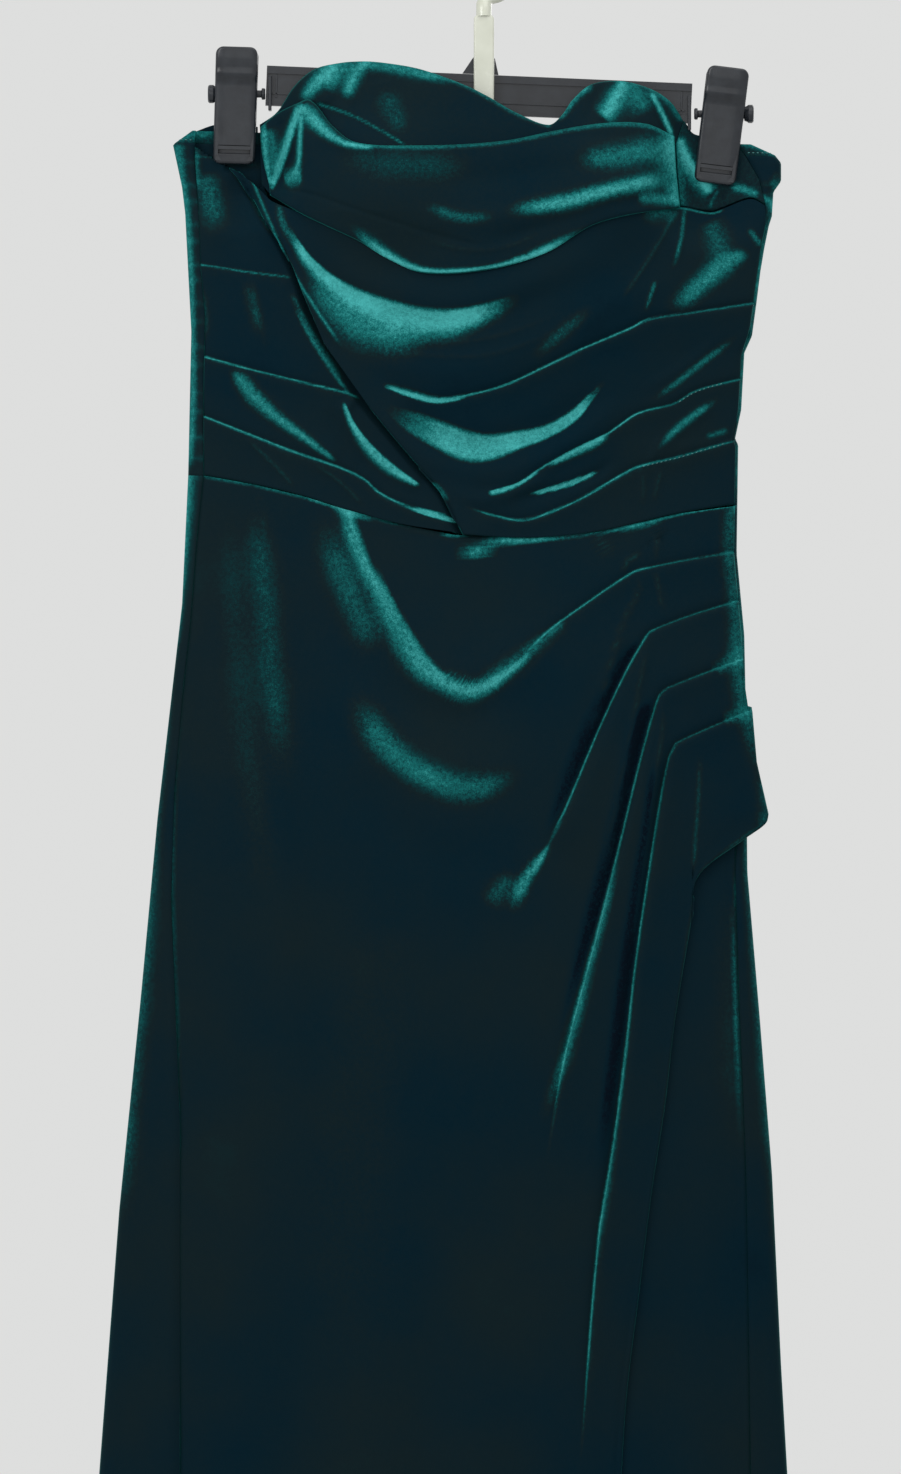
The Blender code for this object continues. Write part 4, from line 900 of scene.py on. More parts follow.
# Painted highlights on the bust
BUST_PAINTED_LIGHT = (
    PaintedLight(0.62, "none", (0, 0.25), ((-99, -85, 5), (-107, -93, 5), (-114, -101, 4), (-119.3, -108, 3))),
    PaintedLight(0.42, "none", (0, 0.35), ((-91, -84, 6), (-98, -92, 6), (-103, -102, 5))),
    PaintedLight(0.6, "none", (0, 0.3), ((-78, -82, 4), (-84, -90, 4.5), (-87.8, -99, 4), (-89, -108, 3))),
    PaintedLight(0.2, "none", (0.3, 0.3), ((-66, -98, 5), (-62, -110, 7), (-56, -122, 6), (-54, -132, 4))),
    PaintedLight(0.5, "none", (0.2, 0.3), ((-86, -83, 3), (-70, -83.5, 4), (-50, -87, 4), (-36, -91, 3), (-18, -97, 2))),
    PaintedLight(0.35, "none", (0, 0), ((-36, -89, 1.4), (-12, -97.5, 1.6), (21, -115.5, 1.8), (42, -123.5, 2))),
    PaintedLight(0.75, "none", (0, 0.15), ((90, -97, 4), (86, -104, 5.5), (82.9, -111, 6), (76, -119, 6))),
    PaintedLight(0.4, "none", (0.1, 0.3), ((92, -96, 7), (100, -106, 9), (106, -117, 7))),
    PaintedLight(0.75, "none", (0.1, 0.1), ((108.5, -101, 1.4), (114, -111, 1.8), (118.5, -120.3, 1.8), (122.6, -128.5, 1.6))),
    PaintedLight(0.6, "none", (0.1, 0.2), ((47, -120, 2.5), (54, -111, 3), (61, -102, 3.2), (72, -96, 2.6))),
    PaintedLight(0.5, "none", (0.1, 0.1), ((-112, -107.5, 1), (-88, -116, 0.9), (-67.3, -127, 0.9), (-49, -138, 0.8))),
    PaintedLight(0.4, "none", (0.3, 0), ((104, -97, 2), (120, -106, 3), (128, -116, 3))),
)
bust_front = front_piece(
    "bust_sweetheart", fan(BUST_FRONT, 1.3), BUST_FOLDS, BUST_PAINTED_LIGHT, rolls=((2.8, BUST_FRONT[0].points),),
    lift=lambda x, z: -1.7 * ease(x, 119, 125), tone=0.02)
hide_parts("bust_front")

COWL_LIFT = 3.8
COWL_TOP = COWL[0].points
COWL_FOOT = COWL[-1].points
COWL_FOLDS = (
    Fold("roll", 3.0, 2.6, 0.55, (0, 0), ((-119, -110), (-126, -132), (-132, -150), (-138, -163))),
    Fold("roll", 1.8, 2.2, 0.35, (0, 0.2), ((-118, -112), (-119.5, -135), (-121, -150), (-127, -160))),
    Fold("trough", 2.2, 2.6, 0, (0.1, 0), ((-121, -122), (-125, -145), (-132, -161))),
    Fold("trough", 2.0, 3.0, 0, (0.1, 0), ((-131, -118), (-135, -140), (-138, -160))),
    Fold("roll", 1.8, 2.6, 0.3, (0, 0), ((-143, -124), (-142, -143), (-139.5, -160))),
    Fold("roll", 2.2, 5, 0, (0, 0.2), ((-112, -110), (-105, -124), (-90, -136), (-60, -141))),
    Fold("trough", 1.8, 9, 0, (0.25, 0.15), ((-100, -150), (-47, -160), (10, -158), (60, -150), (110, -150))),
    Fold("roll", 2.2, 8, 0, (0.2, 0.1), ((-60, -186), (0, -186), (39, -176.2), (80, -166.8), (118, -158))),
    Fold("trough", 1.6, 5, 0, (0.2, 0.1), ((0, -200), (39, -190), (80, -177), (112, -170))),
    Fold("trough", 0.9, 1.6, 0, (0.03, 0.1), ((-138, -163), (-110, -169), (-86, -178), (-35, -194), (2, -203))),
    Fold("roll", 0.7, 2.0, 0.06, (0.2, 0.2), ((-40, -198), (-10, -205), (14, -203), (40, -192))),
    Fold("roll", 1.4, 1.8, 0.4, (0, 0), ((122.5, -130), (124.5, -148), (126.5, -174))),
    Fold("roll", 0.9, 3, 0.1, (0.1, 0.3), ((118, -132), (110, -142), (100, -148))),
)
# Painted highlights on the cowl
COWL_PAINTED_LIGHT = (
    PaintedLight(0.95, "below", (0.2, 0.2), (
        (-88, -187, 2.2), (-79, -196, 3.2), (-68, -205, 3.4), (-56, -212.5, 2.8), (-39, -218, 1.8), (-19.4, -218.4, 1.4),
        (4.9, -216, 1.4), (25.4, -210.5, 2.2), (39, -205.5, 3.0), (52.7, -199, 3.0), (69.2, -188.5, 1.6))),
    PaintedLight(0.78, "none", (0.05, 0.1), (
        (-119.3, -110, 3), (-113, -117, 5), (-108.3, -122.3, 4.5), (-97.4, -132, 3), (-86, -137, 2), (-70, -139, 1.5))),
    PaintedLight(0.4, "none", (0, 0), (
        (-90, -136.5, 1.6), (-47, -138.5, 1.3), (10, -135.5, 1.3), (46, -128.5, 1.6), (78, -123.5, 1.6), (105, -123.5, 1.6),
        (124, -130, 1.4))),
    PaintedLight(0.85, "none", (0, 0.05), ((-121, -112, 2.4), (-128, -132, 2.6), (-134, -150, 2.4), (-138.5, -162, 2))),
    PaintedLight(0.6, "none", (0.05, 0.1), ((-119, -116, 1.6), (-120, -136, 1.8), (-121, -150, 2.2), (-125, -157, 3))),
    PaintedLight(0.62, "none", (0.2, 0.2), ((-131, -158, 4), (-125, -157, 6), (-117, -157, 4))),
    PaintedLight(0.45, "none", (0.1, 0.1), ((-142, -124, 5), (-138, -140, 6), (-139, -154, 4))),
    PaintedLight(0.5, "none", (0, 0), ((-144, -122, 2), (-143, -140, 2), (-140, -160, 2.4))),
    PaintedLight(0.78, "none", (0.25, 0.15), (
        (10, -181, 3.5), (24, -178.5, 4.2), (39, -176.2, 4.6), (59.7, -172.3, 4.8), (80, -166.8, 4.6), (100.8, -162, 4.8),
        (114.4, -158.6, 5), (122, -158, 5))),
    PaintedLight(0.32, "none", (0.3, 0.3), ((-40, -176, 3), (-14, -184, 3.4), (10, -183, 3))),
    PaintedLight(0.42, "none", (0.3, 0.0), ((56, -147, 5), (80.2, -145, 7), (96.6, -142, 8), (110.3, -139.4, 9), (121, -140, 9))),
    PaintedLight(0.6, "none", (0, 0), ((121, -134, 6), (123, -150, 8), (124, -168, 5))),
    PaintedLight(0.5, "none", (0.2, 0), ((98, -172, 3), (112, -171, 4), (126, -172, 3))),
    PaintedLight(0.16, "none", (0.3, 0.3), ((-100, -143, 8), (-60, -150, 9), (0, -150, 8))),
)
cowl = front_piece(
    "bust_cowl_drape", fan(COWL, 1.2), COWL_FOLDS, COWL_PAINTED_LIGHT,
    rolls=((3.4, COWL_TOP), (2.2, COWL_FOOT), (1.5, ((124, -129), (125, -148), (128, -176)))),
    lift=lambda x, z: COWL_LIFT + 0 * x, tone=0.015)
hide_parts("bust_cowl")

# %% [markdown]
# ## The wrap skirt
# The skirt's front is one panel that wraps to the right. Four pleats leave the side seam, turn a corner and run down
# beside each other, and below them the edge swings out as a flounce and falls open as a slit. The grid's columns
# follow the fall lines, so each pleat's edge stays on one column from the seam to the hem.

# %% Wrap skirt
WRAP_FALLS = (
    Row("side_seam", (
        (-183, -350), (-190, -387), (-196, -450), (-199, -486), (-203, -556), (-204, -627), (-198, -770),
        (-198, -1000), (-203, HEM_Z))),
    Row("hip", ((-150, -356), (-152, -600), (-150, -1000), (-162, HEM_Z))),
    Row("flank", ((-115, -364.5), (-118, -480), (-116, -620), (-118, -1000), (-134, HEM_Z))),
    Row("swag", ((-95, -371), (-80, -408), (-64, -434), (-54, -463), (-66, -560), (-80, -1000), (-112, HEM_Z))),
    Row("swag_inner", ((-60, -381), (-48, -430), (-36, -474), (-44, -560), (-62, -1000), (-94, HEM_Z))),
    Row("swag_low", ((-20, -389), (-20, -440), (-25, -486), (-32, -580), (-50, -1000), (-78, HEM_Z))),
    Row("front", ((30, -391), (10, -430), (-14, -480), (-24, -560), (-40, -1000), (-64, HEM_Z))),
    Row("front_inner", ((74, -387), (50, -416), (4, -462), (-12, -500), (-18, -640), (-32, -1000), (-52, HEM_Z))),
    Row("front_right", (
        (127, -375), (100, -395), (50, -427), (10, -466), (-4, -505), (-12, -640), (-24, -1000), (-40, HEM_Z))),
    Row("waist_corner", (
        (164, -370), (129, -384), (72, -416), (20, -460), (2, -500), (-6, -640), (-16, -1000), (-30, HEM_Z))),
    Row("hip_pleat", (
        (165, -400), (129, -406), (102, -411.6), (98, -412.6), (69, -432), (35, -458), (12, -490), (4, -560),
        (-2, -700), (-8, -1000), (-22, HEM_Z))),
    Row("hip_pleat_between", (
        (166, -416), (133, -424), (101, -434), (78, -458), (50, -500), (27, -560), (12, -640), (6, -760),
        (2, -1000), (-12, HEM_Z))),
    Row("second_pleat", (
        (167, -431.5), (133, -442), (110, -451), (107, -453), (93, -477), (75, -515), (53, -567), (38, -598),
        (24, -680), (16, -800), (10, -1000), (-4, HEM_Z))),
    Row("second_between", (
        (169, -450), (137, -460), (111, -471), (99, -500), (80, -560), (60, -620), (42, -690), (30, -770),
        (20, -1000), (5, HEM_Z))),
    Row("third_pleat", (
        (171, -469), (144, -479), (118, -489.4), (115, -491.4), (111, -502), (101, -538), (89, -587), (73, -651),
        (60, -698), (51, -735), (40, -800), (30, -1000), (13, HEM_Z))),
    Row("third_between", (
        (172.5, -486), (148, -496), (120, -508), (111, -537), (101, -590), (88, -660), (76, -740), (62, -820),
        (46, -1000), (21, HEM_Z))),
    Row("fourth_pleat", (
        (175, -503), (153, -512), (127, -523.6), (124, -525.6), (120, -535), (115, -560), (108, -603), (98, -672),
        (92, -726), (84, -786), (74, -850), (62, -1000), (30, HEM_Z))),
    Row("flounce_fold", (
        (178, -537), (150, -547), (139, -571), (134, -627), (120, -720), (106, -820), (88, -950), (76, -1100),
        (39, HEM_Z))),
    Row("slit_edge", (
        (185.7, -571), (184, -577), (169, -588), (139, -612), (135, -640), (124, -707), (118, -759), (109, -817),
        (101, -881), (92, -957), (84, -1100), (48, HEM_Z))),
)
SIDE_SEAM_TOP = -372
FLOUNCE_TOP = -500
OVERLAP_CLEARANCE = 3.4
UPPER_ROWS = 220
LOWER_ROWS = 20
UPPER_PART = 0.58
FALL_CELL = 3.4
BESIDE_PLEAT = (0.9, 2.0)
PLEATED = ("hip_pleat", "second_pleat", "third_pleat", "fourth_pleat", "slit_edge")


def wrap_grid():
    """Rows from the waist to the hem, columns on the fall lines."""
    down = np.concatenate([np.linspace(0, UPPER_PART, UPPER_ROWS, endpoint=False), np.linspace(UPPER_PART, 1, LOWER_ROWS)])
    lines = [smooth_line(row.points, down) for row in WRAP_FALLS]
    lines[0][:, 0] = edge_at(LEFT_SEAM, lines[0][:, 1])
    columns = []
    for here, ahead, row, later in zip(lines, lines[1:], WRAP_FALLS, WRAP_FALLS[1:]):
        gap = np.percentile(np.linalg.norm(ahead - here, axis=1), 55)
        shares = list(np.linspace(0, 1, max(3, int(gap / FALL_CELL)), endpoint=False))
        # A pleat's painted bright line needs columns close beside it
        if row.name in PLEATED:
            shares += [step / gap for step in BESIDE_PLEAT]
        if later.name in PLEATED:
            shares += [1 - step / gap for step in BESIDE_PLEAT]
        columns += [here + (ahead - here) * share for share in sorted(shares)]
    columns.append(lines[-1])
    grid = np.array(columns).transpose(1, 0, 2)
    top = grid[0]
    on_seam = (top[:, 0] > 150) & (top[:, 1] < SIDE_SEAM_TOP) & (top[:, 1] > FLOUNCE_TOP)
    top[on_seam, 0] = edge_at(RIGHT_SEAM, top[on_seam, 1])
    grid[-1, :, 1] = HEM_Z
    return grid


def wrap_lift(x, z):
    """The wrap rises off the under panel towards its open edge."""
    return OVERLAP_CLEARANCE * ease(x, -110, -10) * ease(-z, 425, 485)


def fall(name):
    return next(row.points for row in WRAP_FALLS if row.name == name)


def reversed_to(points, z_end):
    """A pleat line from its foot up to the seam, cut off below z_end."""
    return tuple(point for point in points if point[1] > z_end)[::-1]


WAIST_LINE = WAIST + ((166, -369),)
SKIRT_FOLDS = (
    Fold("pleat", 3.6, 12, 0.72, (0.3, 0), reversed_to(fall("hip_pleat"), -530)),
    Fold("pleat", 4.4, 13, 0.66, (0.12, 0), reversed_to(fall("second_pleat"), -620)),
    Fold("pleat", 4.6, 13, 0.66, (0.2, 0), reversed_to(fall("third_pleat"), -930)),
    Fold("pleat", 4.6, 14, 0.72, (0.2, 0), reversed_to(fall("fourth_pleat"), -1100)),
    Fold("roll", 1.0, 2.6, 0.12, (0.1, 0.2), ((101, -414), (100, -428), (93, -440), (84, -467), (76, -498), (66, -526))),
    Fold("roll", 1.0, 2.4, 0.12, (0.1, 0.2), ((107, -462), (102, -482), (98, -505), (92, -535), (84, -576), (75, -620))),
    Fold("roll", 1.0, 2.4, 0.12, (0.1, 0.2), ((116, -498), (116, -515), (112, -545), (108, -577), (101, -620), (94, -665))),
    Fold("trough", 3.0, 5, 0, (0.1, 0.3), ((100, -458), (86, -486), (74, -515), (60, -548), (46, -580))),
    Fold("trough", 3.0, 4, 0, (0.1, 0.3), ((109, -498), (99, -537), (87, -587), (71, -648), (58, -698))),
    Fold("trough", 2.6, 4, 0, (0.1, 0.3), ((119, -532), (113, -560), (106, -600), (96, -670), (86, -760), (72, -860))),
    Fold("roll", 3.0, 16, 0, (0.1, 0.2), (
        (-96, -368), (-86.5, -388.5), (-78.2, -407.6), (-59.2, -444.6), (-39, -474), (-12, -484), (14, -472), (44, -446))),
    Fold("trough", 2.4, 14, 0, (0.2, 0.2), (
        (-104, -420), (-84, -460), (-58, -492), (-26, -507), (4, -500), (26, -484))),
    Fold("roll", 2.2, 14, 0, (0.2, 0.3), ((-92, -480), (-72, -515), (-50, -534), (-20, -545), (12, -540), (34, -520))),
    Fold("trough", 1.6, 16, 0, (0.2, 0.3), ((-90, -540), (-60, -580), (-20, -600), (20, -590))),
    Fold("roll", 1.8, 14, 0, (0.15, 0.4), ((-146, -372), (-143, -440), (-136, -540), (-128, -700), (-122, -900))),
    Fold("trough", 1.6, 16, 0, (0.15, 0.4), ((-120, -400), (-118, -500), (-108, -620), (-100, -800))),
    Fold("roll", 1.6, 15, 0, (0.2, 0.4), ((-168, -430), (-166, -560), (-158, -720), (-150, -900), (-142, -1100))),
    Fold("roll", 1.6, 20, 0, (0.3, 0.1), ((-70, -700), (-70, -900), (-80, -1150), (-90, -1450))),
    Fold("trough", 1.6, 20, 0, (0.3, 0.1), ((-30, -760), (-34, -950), (-44, -1200), (-52, -1450))),
    Fold("roll", 1.6, 18, 0, (0.3, 0.1), ((6, -840), (-2, -1000), (-12, -1200), (-18, -1450))),
    Fold("trough", 1.6, 20, 0, (0.3, 0.1), ((-128, -820), (-130, -1000), (-138, -1200), (-148, -1450))),
    Fold("roll", 1.2, 3.5, 0, (0.1, 0.5), ((-8, -391), (-2, -398), (0, -408))),
    Fold("trough", 1.0, 3, 0, (0.1, 0.5), ((-16, -391), (-10, -399), (-5, -406))),
    Fold("roll", 0.8, 2.8, 0.16, (0.2, 0.4), ((112, -412), (115, -426), (117, -440))),
    Fold("roll", 0.8, 3, 0.1, (0.1, 0.4), ((112, -384), (113, -396), (111, -407))),
    Fold("roll", 0.8, 3, 0.16, (0.2, 0.3), ((90, -414), (94, -406), (103, -400))),
    Fold("roll", 0.8, 2.4, 0.08, (0.1, 0.4), ((-146, -362), (-144, -376), (-144, -392))),
    Fold("trough", 0.7, 1.2, 0, (0, 0), ((184, -566), (166, -583), (136, -608), (131.4, -640), (120.4, -707), (114, -760),
        (105, -818), (97, -882), (88, -957), (80, -1100), (44, -1460))),
)
# Painted highlights on the skirt, and painted shade beside the pleats where a strength is below zero
SKIRT_PAINTED_LIGHT = (
    PaintedLight(0.62, "none", (0, 0), tuple((x, z - 0.8, 0.8) for x, z in WAIST_LINE)),
    PaintedLight(-0.2, "none", (0.1, 0.25), (
        (103, -455, 1.5), (91, -473, 3.6), (78, -500, 5), (64, -528, 4.6), (50, -560, 3.2), (38, -588, 2))),
    PaintedLight(-0.24, "none", (0.06, 0.25), (
        (110, -494, 2), (102, -510, 4), (94, -545, 5), (84, -590, 5.4), (72, -635, 5), (60, -680, 4), (48, -720, 2.6))),
    PaintedLight(-0.2, "none", (0.1, 0.25), (
        (118, -530, 1.6), (111, -545, 3), (106, -580, 3.6), (99, -625, 4), (91, -680, 4), (83, -740, 3.8), (74, -810, 3))),
    PaintedLight(0.22, "none", (0.1, 0.1), ((184, -575, 1), (169, -586, 1), (139, -610, 1))),
    PaintedLight(0.2, "none", (0.2, 0.2), ((140.4, -530, 1.2), (139.8, -553, 1.3), (137.5, -590, 1.3), (136, -611, 1.2))),
    PaintedLight(0.16, "none", (0.1, 0.4), ((74, -389, 1.6), (78, -397, 1.8), (84, -405, 1.4))),
    PaintedLight(0.66, "above", (0, 0.1), (
        (-94, -368, 4), (-88, -376, 5), (-86.5, -388.5, 4.4), (-78.2, -407.6, 5), (-67.3, -428.2, 6),
        (-59.2, -444.6, 7), (-48.8, -463, 8), (-39, -476, 7.5), (-24, -486.5, 5.5), (-9, -490.4, 4.6), (3.9, -486.5, 3.6),
        (20.2, -474.8, 2.6), (36.4, -462, 1.6))),
    PaintedLight(0.5, "none", (0.3, 0.2), ((-34, -478, 4), (-20, -487, 5), (-8, -490, 5), (4, -486, 4), (16, -478, 3))),
    PaintedLight(0.3, "none", (0.4, 0.2), ((-110, -372, 8), (-98, -400, 9), (-84, -436, 9), (-68, -468, 9))),
    PaintedLight(0.46, "none", (0.25, 0.25), (
        (-87, -488, 5), (-78, -506, 8), (-68, -521, 8.5), (-50, -538, 8), (-28.6, -550, 8), (-9.1, -554, 8),
        (10.4, -549, 6), (26.7, -540, 4))),
    PaintedLight(0.22, "none", (0.2, 0.3), ((-150, -366, 5), (-146, -400, 8), (-142, -440, 9), (-136, -500, 9), (-128, -560, 8))),
    PaintedLight(0.1, "none", (0.2, 0.3), ((-166, -370, 6), (-162, -440, 8), (-152, -540, 9), (-140, -640, 8))),
    PaintedLight(0.6, "none", (0.2, 0.1), ((-118, -363.5, 0.8), (-100, -369.6, 1.2), (-84, -375.5, 2), (-74, -379, 1.2))),
    PaintedLight(0.62, "below", (0.05, 0.1), (
        (-26, -389, 1), (-15.6, -391, 2.4), (-8, -396.7, 3), (-1.3, -402, 4), (4.9, -395, 3), (18, -392.4, 3),
        (39, -391.6, 3), (50, -391, 1.6))),
    PaintedLight(0.35, "none", (0.2, 0.3), ((86, -386, 1.4), (104, -383, 2), (120, -378.5, 1.4))),
    PaintedLight(0.36, "none", (0, 0.2), ((50, -448, 2), (30, -464, 4.5), (10, -480, 6), (-4, -489, 6))),
    PaintedLight(0.34, "none", (0, 0.3), (
        (161, -374, 4), (160, -400, 5), (163, -425, 5), (165, -455, 5.5), (167, -485, 6), (175, -525, 5), (182, -560, 5))),
    PaintedLight(0.3, "none", (0.1, 0.1), ((150, -478, 3), (162, -470, 5), (171, -466, 5))),
    PaintedLight(0.3, "none", (0.1, 0.1), ((156, -510, 3), (168, -505, 5), (176, -503, 5))),
    PaintedLight(0.26, "none", (0.2, 0.2), ((180, -545, 3), (183, -558, 4), (183, -572, 4), (178, -580, 3))),
    PaintedLight(0.75, "none", (0.2, 0.35), (
        (44, -588, 0.8), (39, -596, 1.8), (33, -605, 3), (27, -613, 3.8), (21, -624, 4.2), (16, -636, 3.6))),
    PaintedLight(0.3, "none", (0.3, 0.3), ((20, -608, 4), (10, -620, 6), (2, -632, 6))),
    PaintedLight(0.4, "none", (0.25, 0.2), (
        (90, -583, 1.2), (84, -611, 1.8), (78, -635, 2.4), (68.5, -668, 3), (61, -698, 3.2), (52, -731, 3.2), (43, -756, 3),
        (37, -772, 2.6))),
    PaintedLight(0.24, "none", (0.25, 0.3), ((98, -676, 1.1), (92, -726, 1.3), (84, -790, 1.6), (76, -840, 2), (70, -880, 2))),
    PaintedLight(0.12, "none", (0.1, 0.3), ((137, -620, 1.2), (125, -707, 1.2), (111, -815, 1.2), (94, -950, 1))),
    PaintedLight(0.22, "none", (0.3, 0.3), ((-198, -480, 2), (-203, -560, 2), (-203, -660, 2), (-198, -780, 2))),
    PaintedLight(0.04, "none", (0.3, 0.3), ((-60, -600, 20), (-80, -760, 24), (-90, -960, 24))),
)
wrap = front_piece(
    "wrap_skirt", wrap_grid(), SKIRT_FOLDS, SKIRT_PAINTED_LIGHT,
    rolls=((1.2, WAIST_LINE), (2.0, fall("slit_edge")), (1.4, part_of(LEFT_SEAM, -350, HEM_Z)),
           (1.4, part_of(RIGHT_SEAM, -401, -502))),
    lift=wrap_lift, right_edge=FLOUNCE_EDGE)
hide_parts("skirt_wrap")

# %% [markdown]
# ## The panel under the wrap
# It shows only right of the slit. It is sewn into the waist and the right side seam and is otherwise a plain fall of
# cloth with one soft vertical fold.

# %% Under panel
UNDER_TUCK = 3.2
UNDER_LEFT = 20.0
UNDER_TOP = -370.0


def under_grid():
    """Even columns, with rows that go from the waist's curve to a level hem."""
    share = np.concatenate([np.linspace(0, 0.49, 130, endpoint=False), np.linspace(0.49, 1, 60)])
    down = UNDER_TOP + (HEM_Z - UNDER_TOP) * share
    tucked = 1 - ease(-down, 425, 500)
    end = edge_at(RIGHT_SEAM, down) - 6 * tucked
    start = UNDER_LEFT - 30 * ease(-down, 700, 1460)
    x = start[:, None] + (end - start)[:, None] * np.linspace(0, 1, 52)
    waist = np.interp(x, *zip(*WAIST)) - 1
    z = waist + (HEM_Z - waist) * share[:, None]
    return np.stack([x, z], axis=2)


UNDER_FOLDS = (
    Fold("roll", 1.4, 10, 0, (0.2, 0.1), ((150, -640), (146, -800), (140, -1000), (132, -1450))),
    Fold("trough", 1.2, 12, 0, (0.2, 0.1), ((128, -760), (120, -900), (108, -1100), (98, -1450))),
    Fold("trough", 0.8, 1.4, 0, (0, 0), ((159, -600), (160, -700), (165, -800), (168, -1000), (173, -1455))),
)
# Painted highlights on the under panel
UNDER_PAINTED_LIGHT = (
    PaintedLight(0.4, "none", (0, 0.5), ((166, -601, 1.2), (163.5, -634, 1.2), (165, -707, 1.2), (169, -800, 1.2))),
    PaintedLight(0.06, "none", (0.2, 0.4), ((158, -610, 6), (160, -700, 8), (164, -800, 8))),
)
under = front_piece(
    "under_skirt", under_grid(), UNDER_FOLDS, UNDER_PAINTED_LIGHT, rolls=((1.2, part_of(RIGHT_SEAM, -560, HEM_Z)),),
    lift=lambda x, z: -UNDER_TUCK * (1 - ease(-z, 425, 500)))
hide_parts("skirt_under")

# %% [markdown]
# ## The back
# The photograph shows only the back's two narrow sides and the end of its top band. The rest is made as such dresses
# are: an elasticated bodice with shallow rolls running across, fading to the middle, and a plain skirt with soft
# vertical folds. The back turns round both sides of the tube and meets the front at its seams.

# %% Back pieces
BAND_TOP = (-125, -134)
BAND_FOOT = (-133, -142)
BACK_WAIST = (-350, -369.6)
ROUND = 9


def round_back(left_z, right_z, count):
    """A row from the left seam round the left side, across the back and round to the right seam."""
    start = float(edge_at(LEFT_SEAM, left_z))
    end = float(edge_at(RIGHT_SEAM, right_z))
    left = float(edge_at(LEFT_EDGE, left_z))
    right = float(edge_at(RIGHT_EDGE, right_z))
    turn = 1 - np.cos(np.linspace(0, np.pi / 2, ROUND))
    front_left = left + (start - left) * turn[::-1]
    back_left = left + EDGE_RADIUS * turn[1:]
    back_right = right - EDGE_RADIUS * turn[::-1]
    middle = np.linspace(back_left[-1], back_right[0], count + 2)[1:-1]
    front_right = right - (right - end) * turn[1:]
    x = np.concatenate([front_left, back_left, middle, back_right, front_right])
    on_front = np.zeros(len(x), bool)
    on_front[:ROUND] = True
    on_front[-(ROUND - 1):] = True
    t = np.clip((x - left) / (right - left), 0, 1)
    z = left_z + (right_z - left_z) * t
    y = np.where(on_front, front_y(x, z), back_y(x, z))
    return np.stack([x, y, z], axis=1), on_front


def back_piece(name, tops, feet, count, across, folds, painted_lights, rows=None, tone=0.0):
    down = np.linspace(0, 1, count) if rows is None else rows
    points = []
    front = []
    for t in down:
        row, on_front = round_back(tops[0] + (feet[0] - tops[0]) * t, tops[1] + (feet[1] - tops[1]) * t, across)
        points.append(row)
        front.append(on_front)
    points = np.array(points)
    x = points[..., 0].ravel()
    z = points[..., 2].ravel()
    height, painted_sheen = crease(x, z, folds)
    painted_sheen = 1 - (1 - painted_sheen) * (1 - painted_light_patches(x, z, painted_lights)) + tone
    flat = np.array(front).ravel()
    away = np.where(flat, 0, ease(back_y(x, z), 2, 8))
    side_roll = np.where(flat, height * 0.5, 0)
    y = points[..., 1].ravel() + height * away - side_roll * 0.4
    points[..., 1] = y.reshape(points.shape[:2])
    return make_cloth(name, points, painted_sheen.reshape(points.shape[:2]), outwards=-1)


ROLL_HEIGHTS = (-150, -163, -176, -188, -201, -214, -227, -240, -254, -268, -282, -297, -312, -327, -342)
RIPPLE = (3, -2, 4, -3, 2, -4, 3, -1, 4, -2, 3, -3, 2, -2, 1)


def back_rolls():
    """Shallow rolls across the back, each one bending a little differently and fading near its middle."""
    folds = []
    for height, bend in zip(ROLL_HEIGHTS, RIPPLE):
        drop = 14 * (height + 125) / 225
        folds.append(Fold("roll", 1.5, 4.2, 0.12, (0, 0.25), (
            (-205, height + 4), (-150, height + bend), (-90, height - 2 - bend), (-10, height - 5))))
        folds.append(Fold("roll", 1.5, 4.0, 0.14, (0.25, 0), (
            (-30, height - 5 + bend), (60, height - 3), (120, height - 6 + drop - bend), (200, height - 8 + drop))))
    return tuple(folds)


# Painted highlights along the back's side edges and under the band
EDGE_PAINTED_LIGHT = (
    PaintedLight(0.5, "none", (0.02, 0.05), (
        (-200, -132, 5), (-199, -150, 4), (-194, -180, 3), (-191, -230, 2.6), (-190, -302, 2.6), (-193, -348, 2.6))),
    PaintedLight(0.34, "none", (0.05, 0.05), ((192, -150, 3), (186, -190, 3), (180, -215, 3), (172, -262, 2.4), (168, -300, 2.4),
        (166, -366, 2.4))),
    PaintedLight(0.5, "none", (0.1, 0.1), ((176, -166.5, 2), (186, -171, 2.4), (190, -178, 3))),
)
# The band's strokes are painted highlights
band = back_piece("top_band", BAND_TOP, BAND_FOOT, 9, 220, (
    Fold("trough", 0.5, 0.9, 0, (0, 0), ((-205, -131), (0, -134), (200, -139)),),), (
    PaintedLight(0.5, "none", (0, 0), ((168, -132, 2.4), (182, -135, 3), (196, -141, 3.4))),
    PaintedLight(0.35, "none", (0, 0), ((-206, -130, 4), (-180, -126, 3)))), tone=0.16)
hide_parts("back_band")
bodice_back = back_piece("bodice_back_ruched", BAND_FOOT, BACK_WAIST, 136, 170, back_rolls(), EDGE_PAINTED_LIGHT, tone=0.02)
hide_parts("bodice_back")

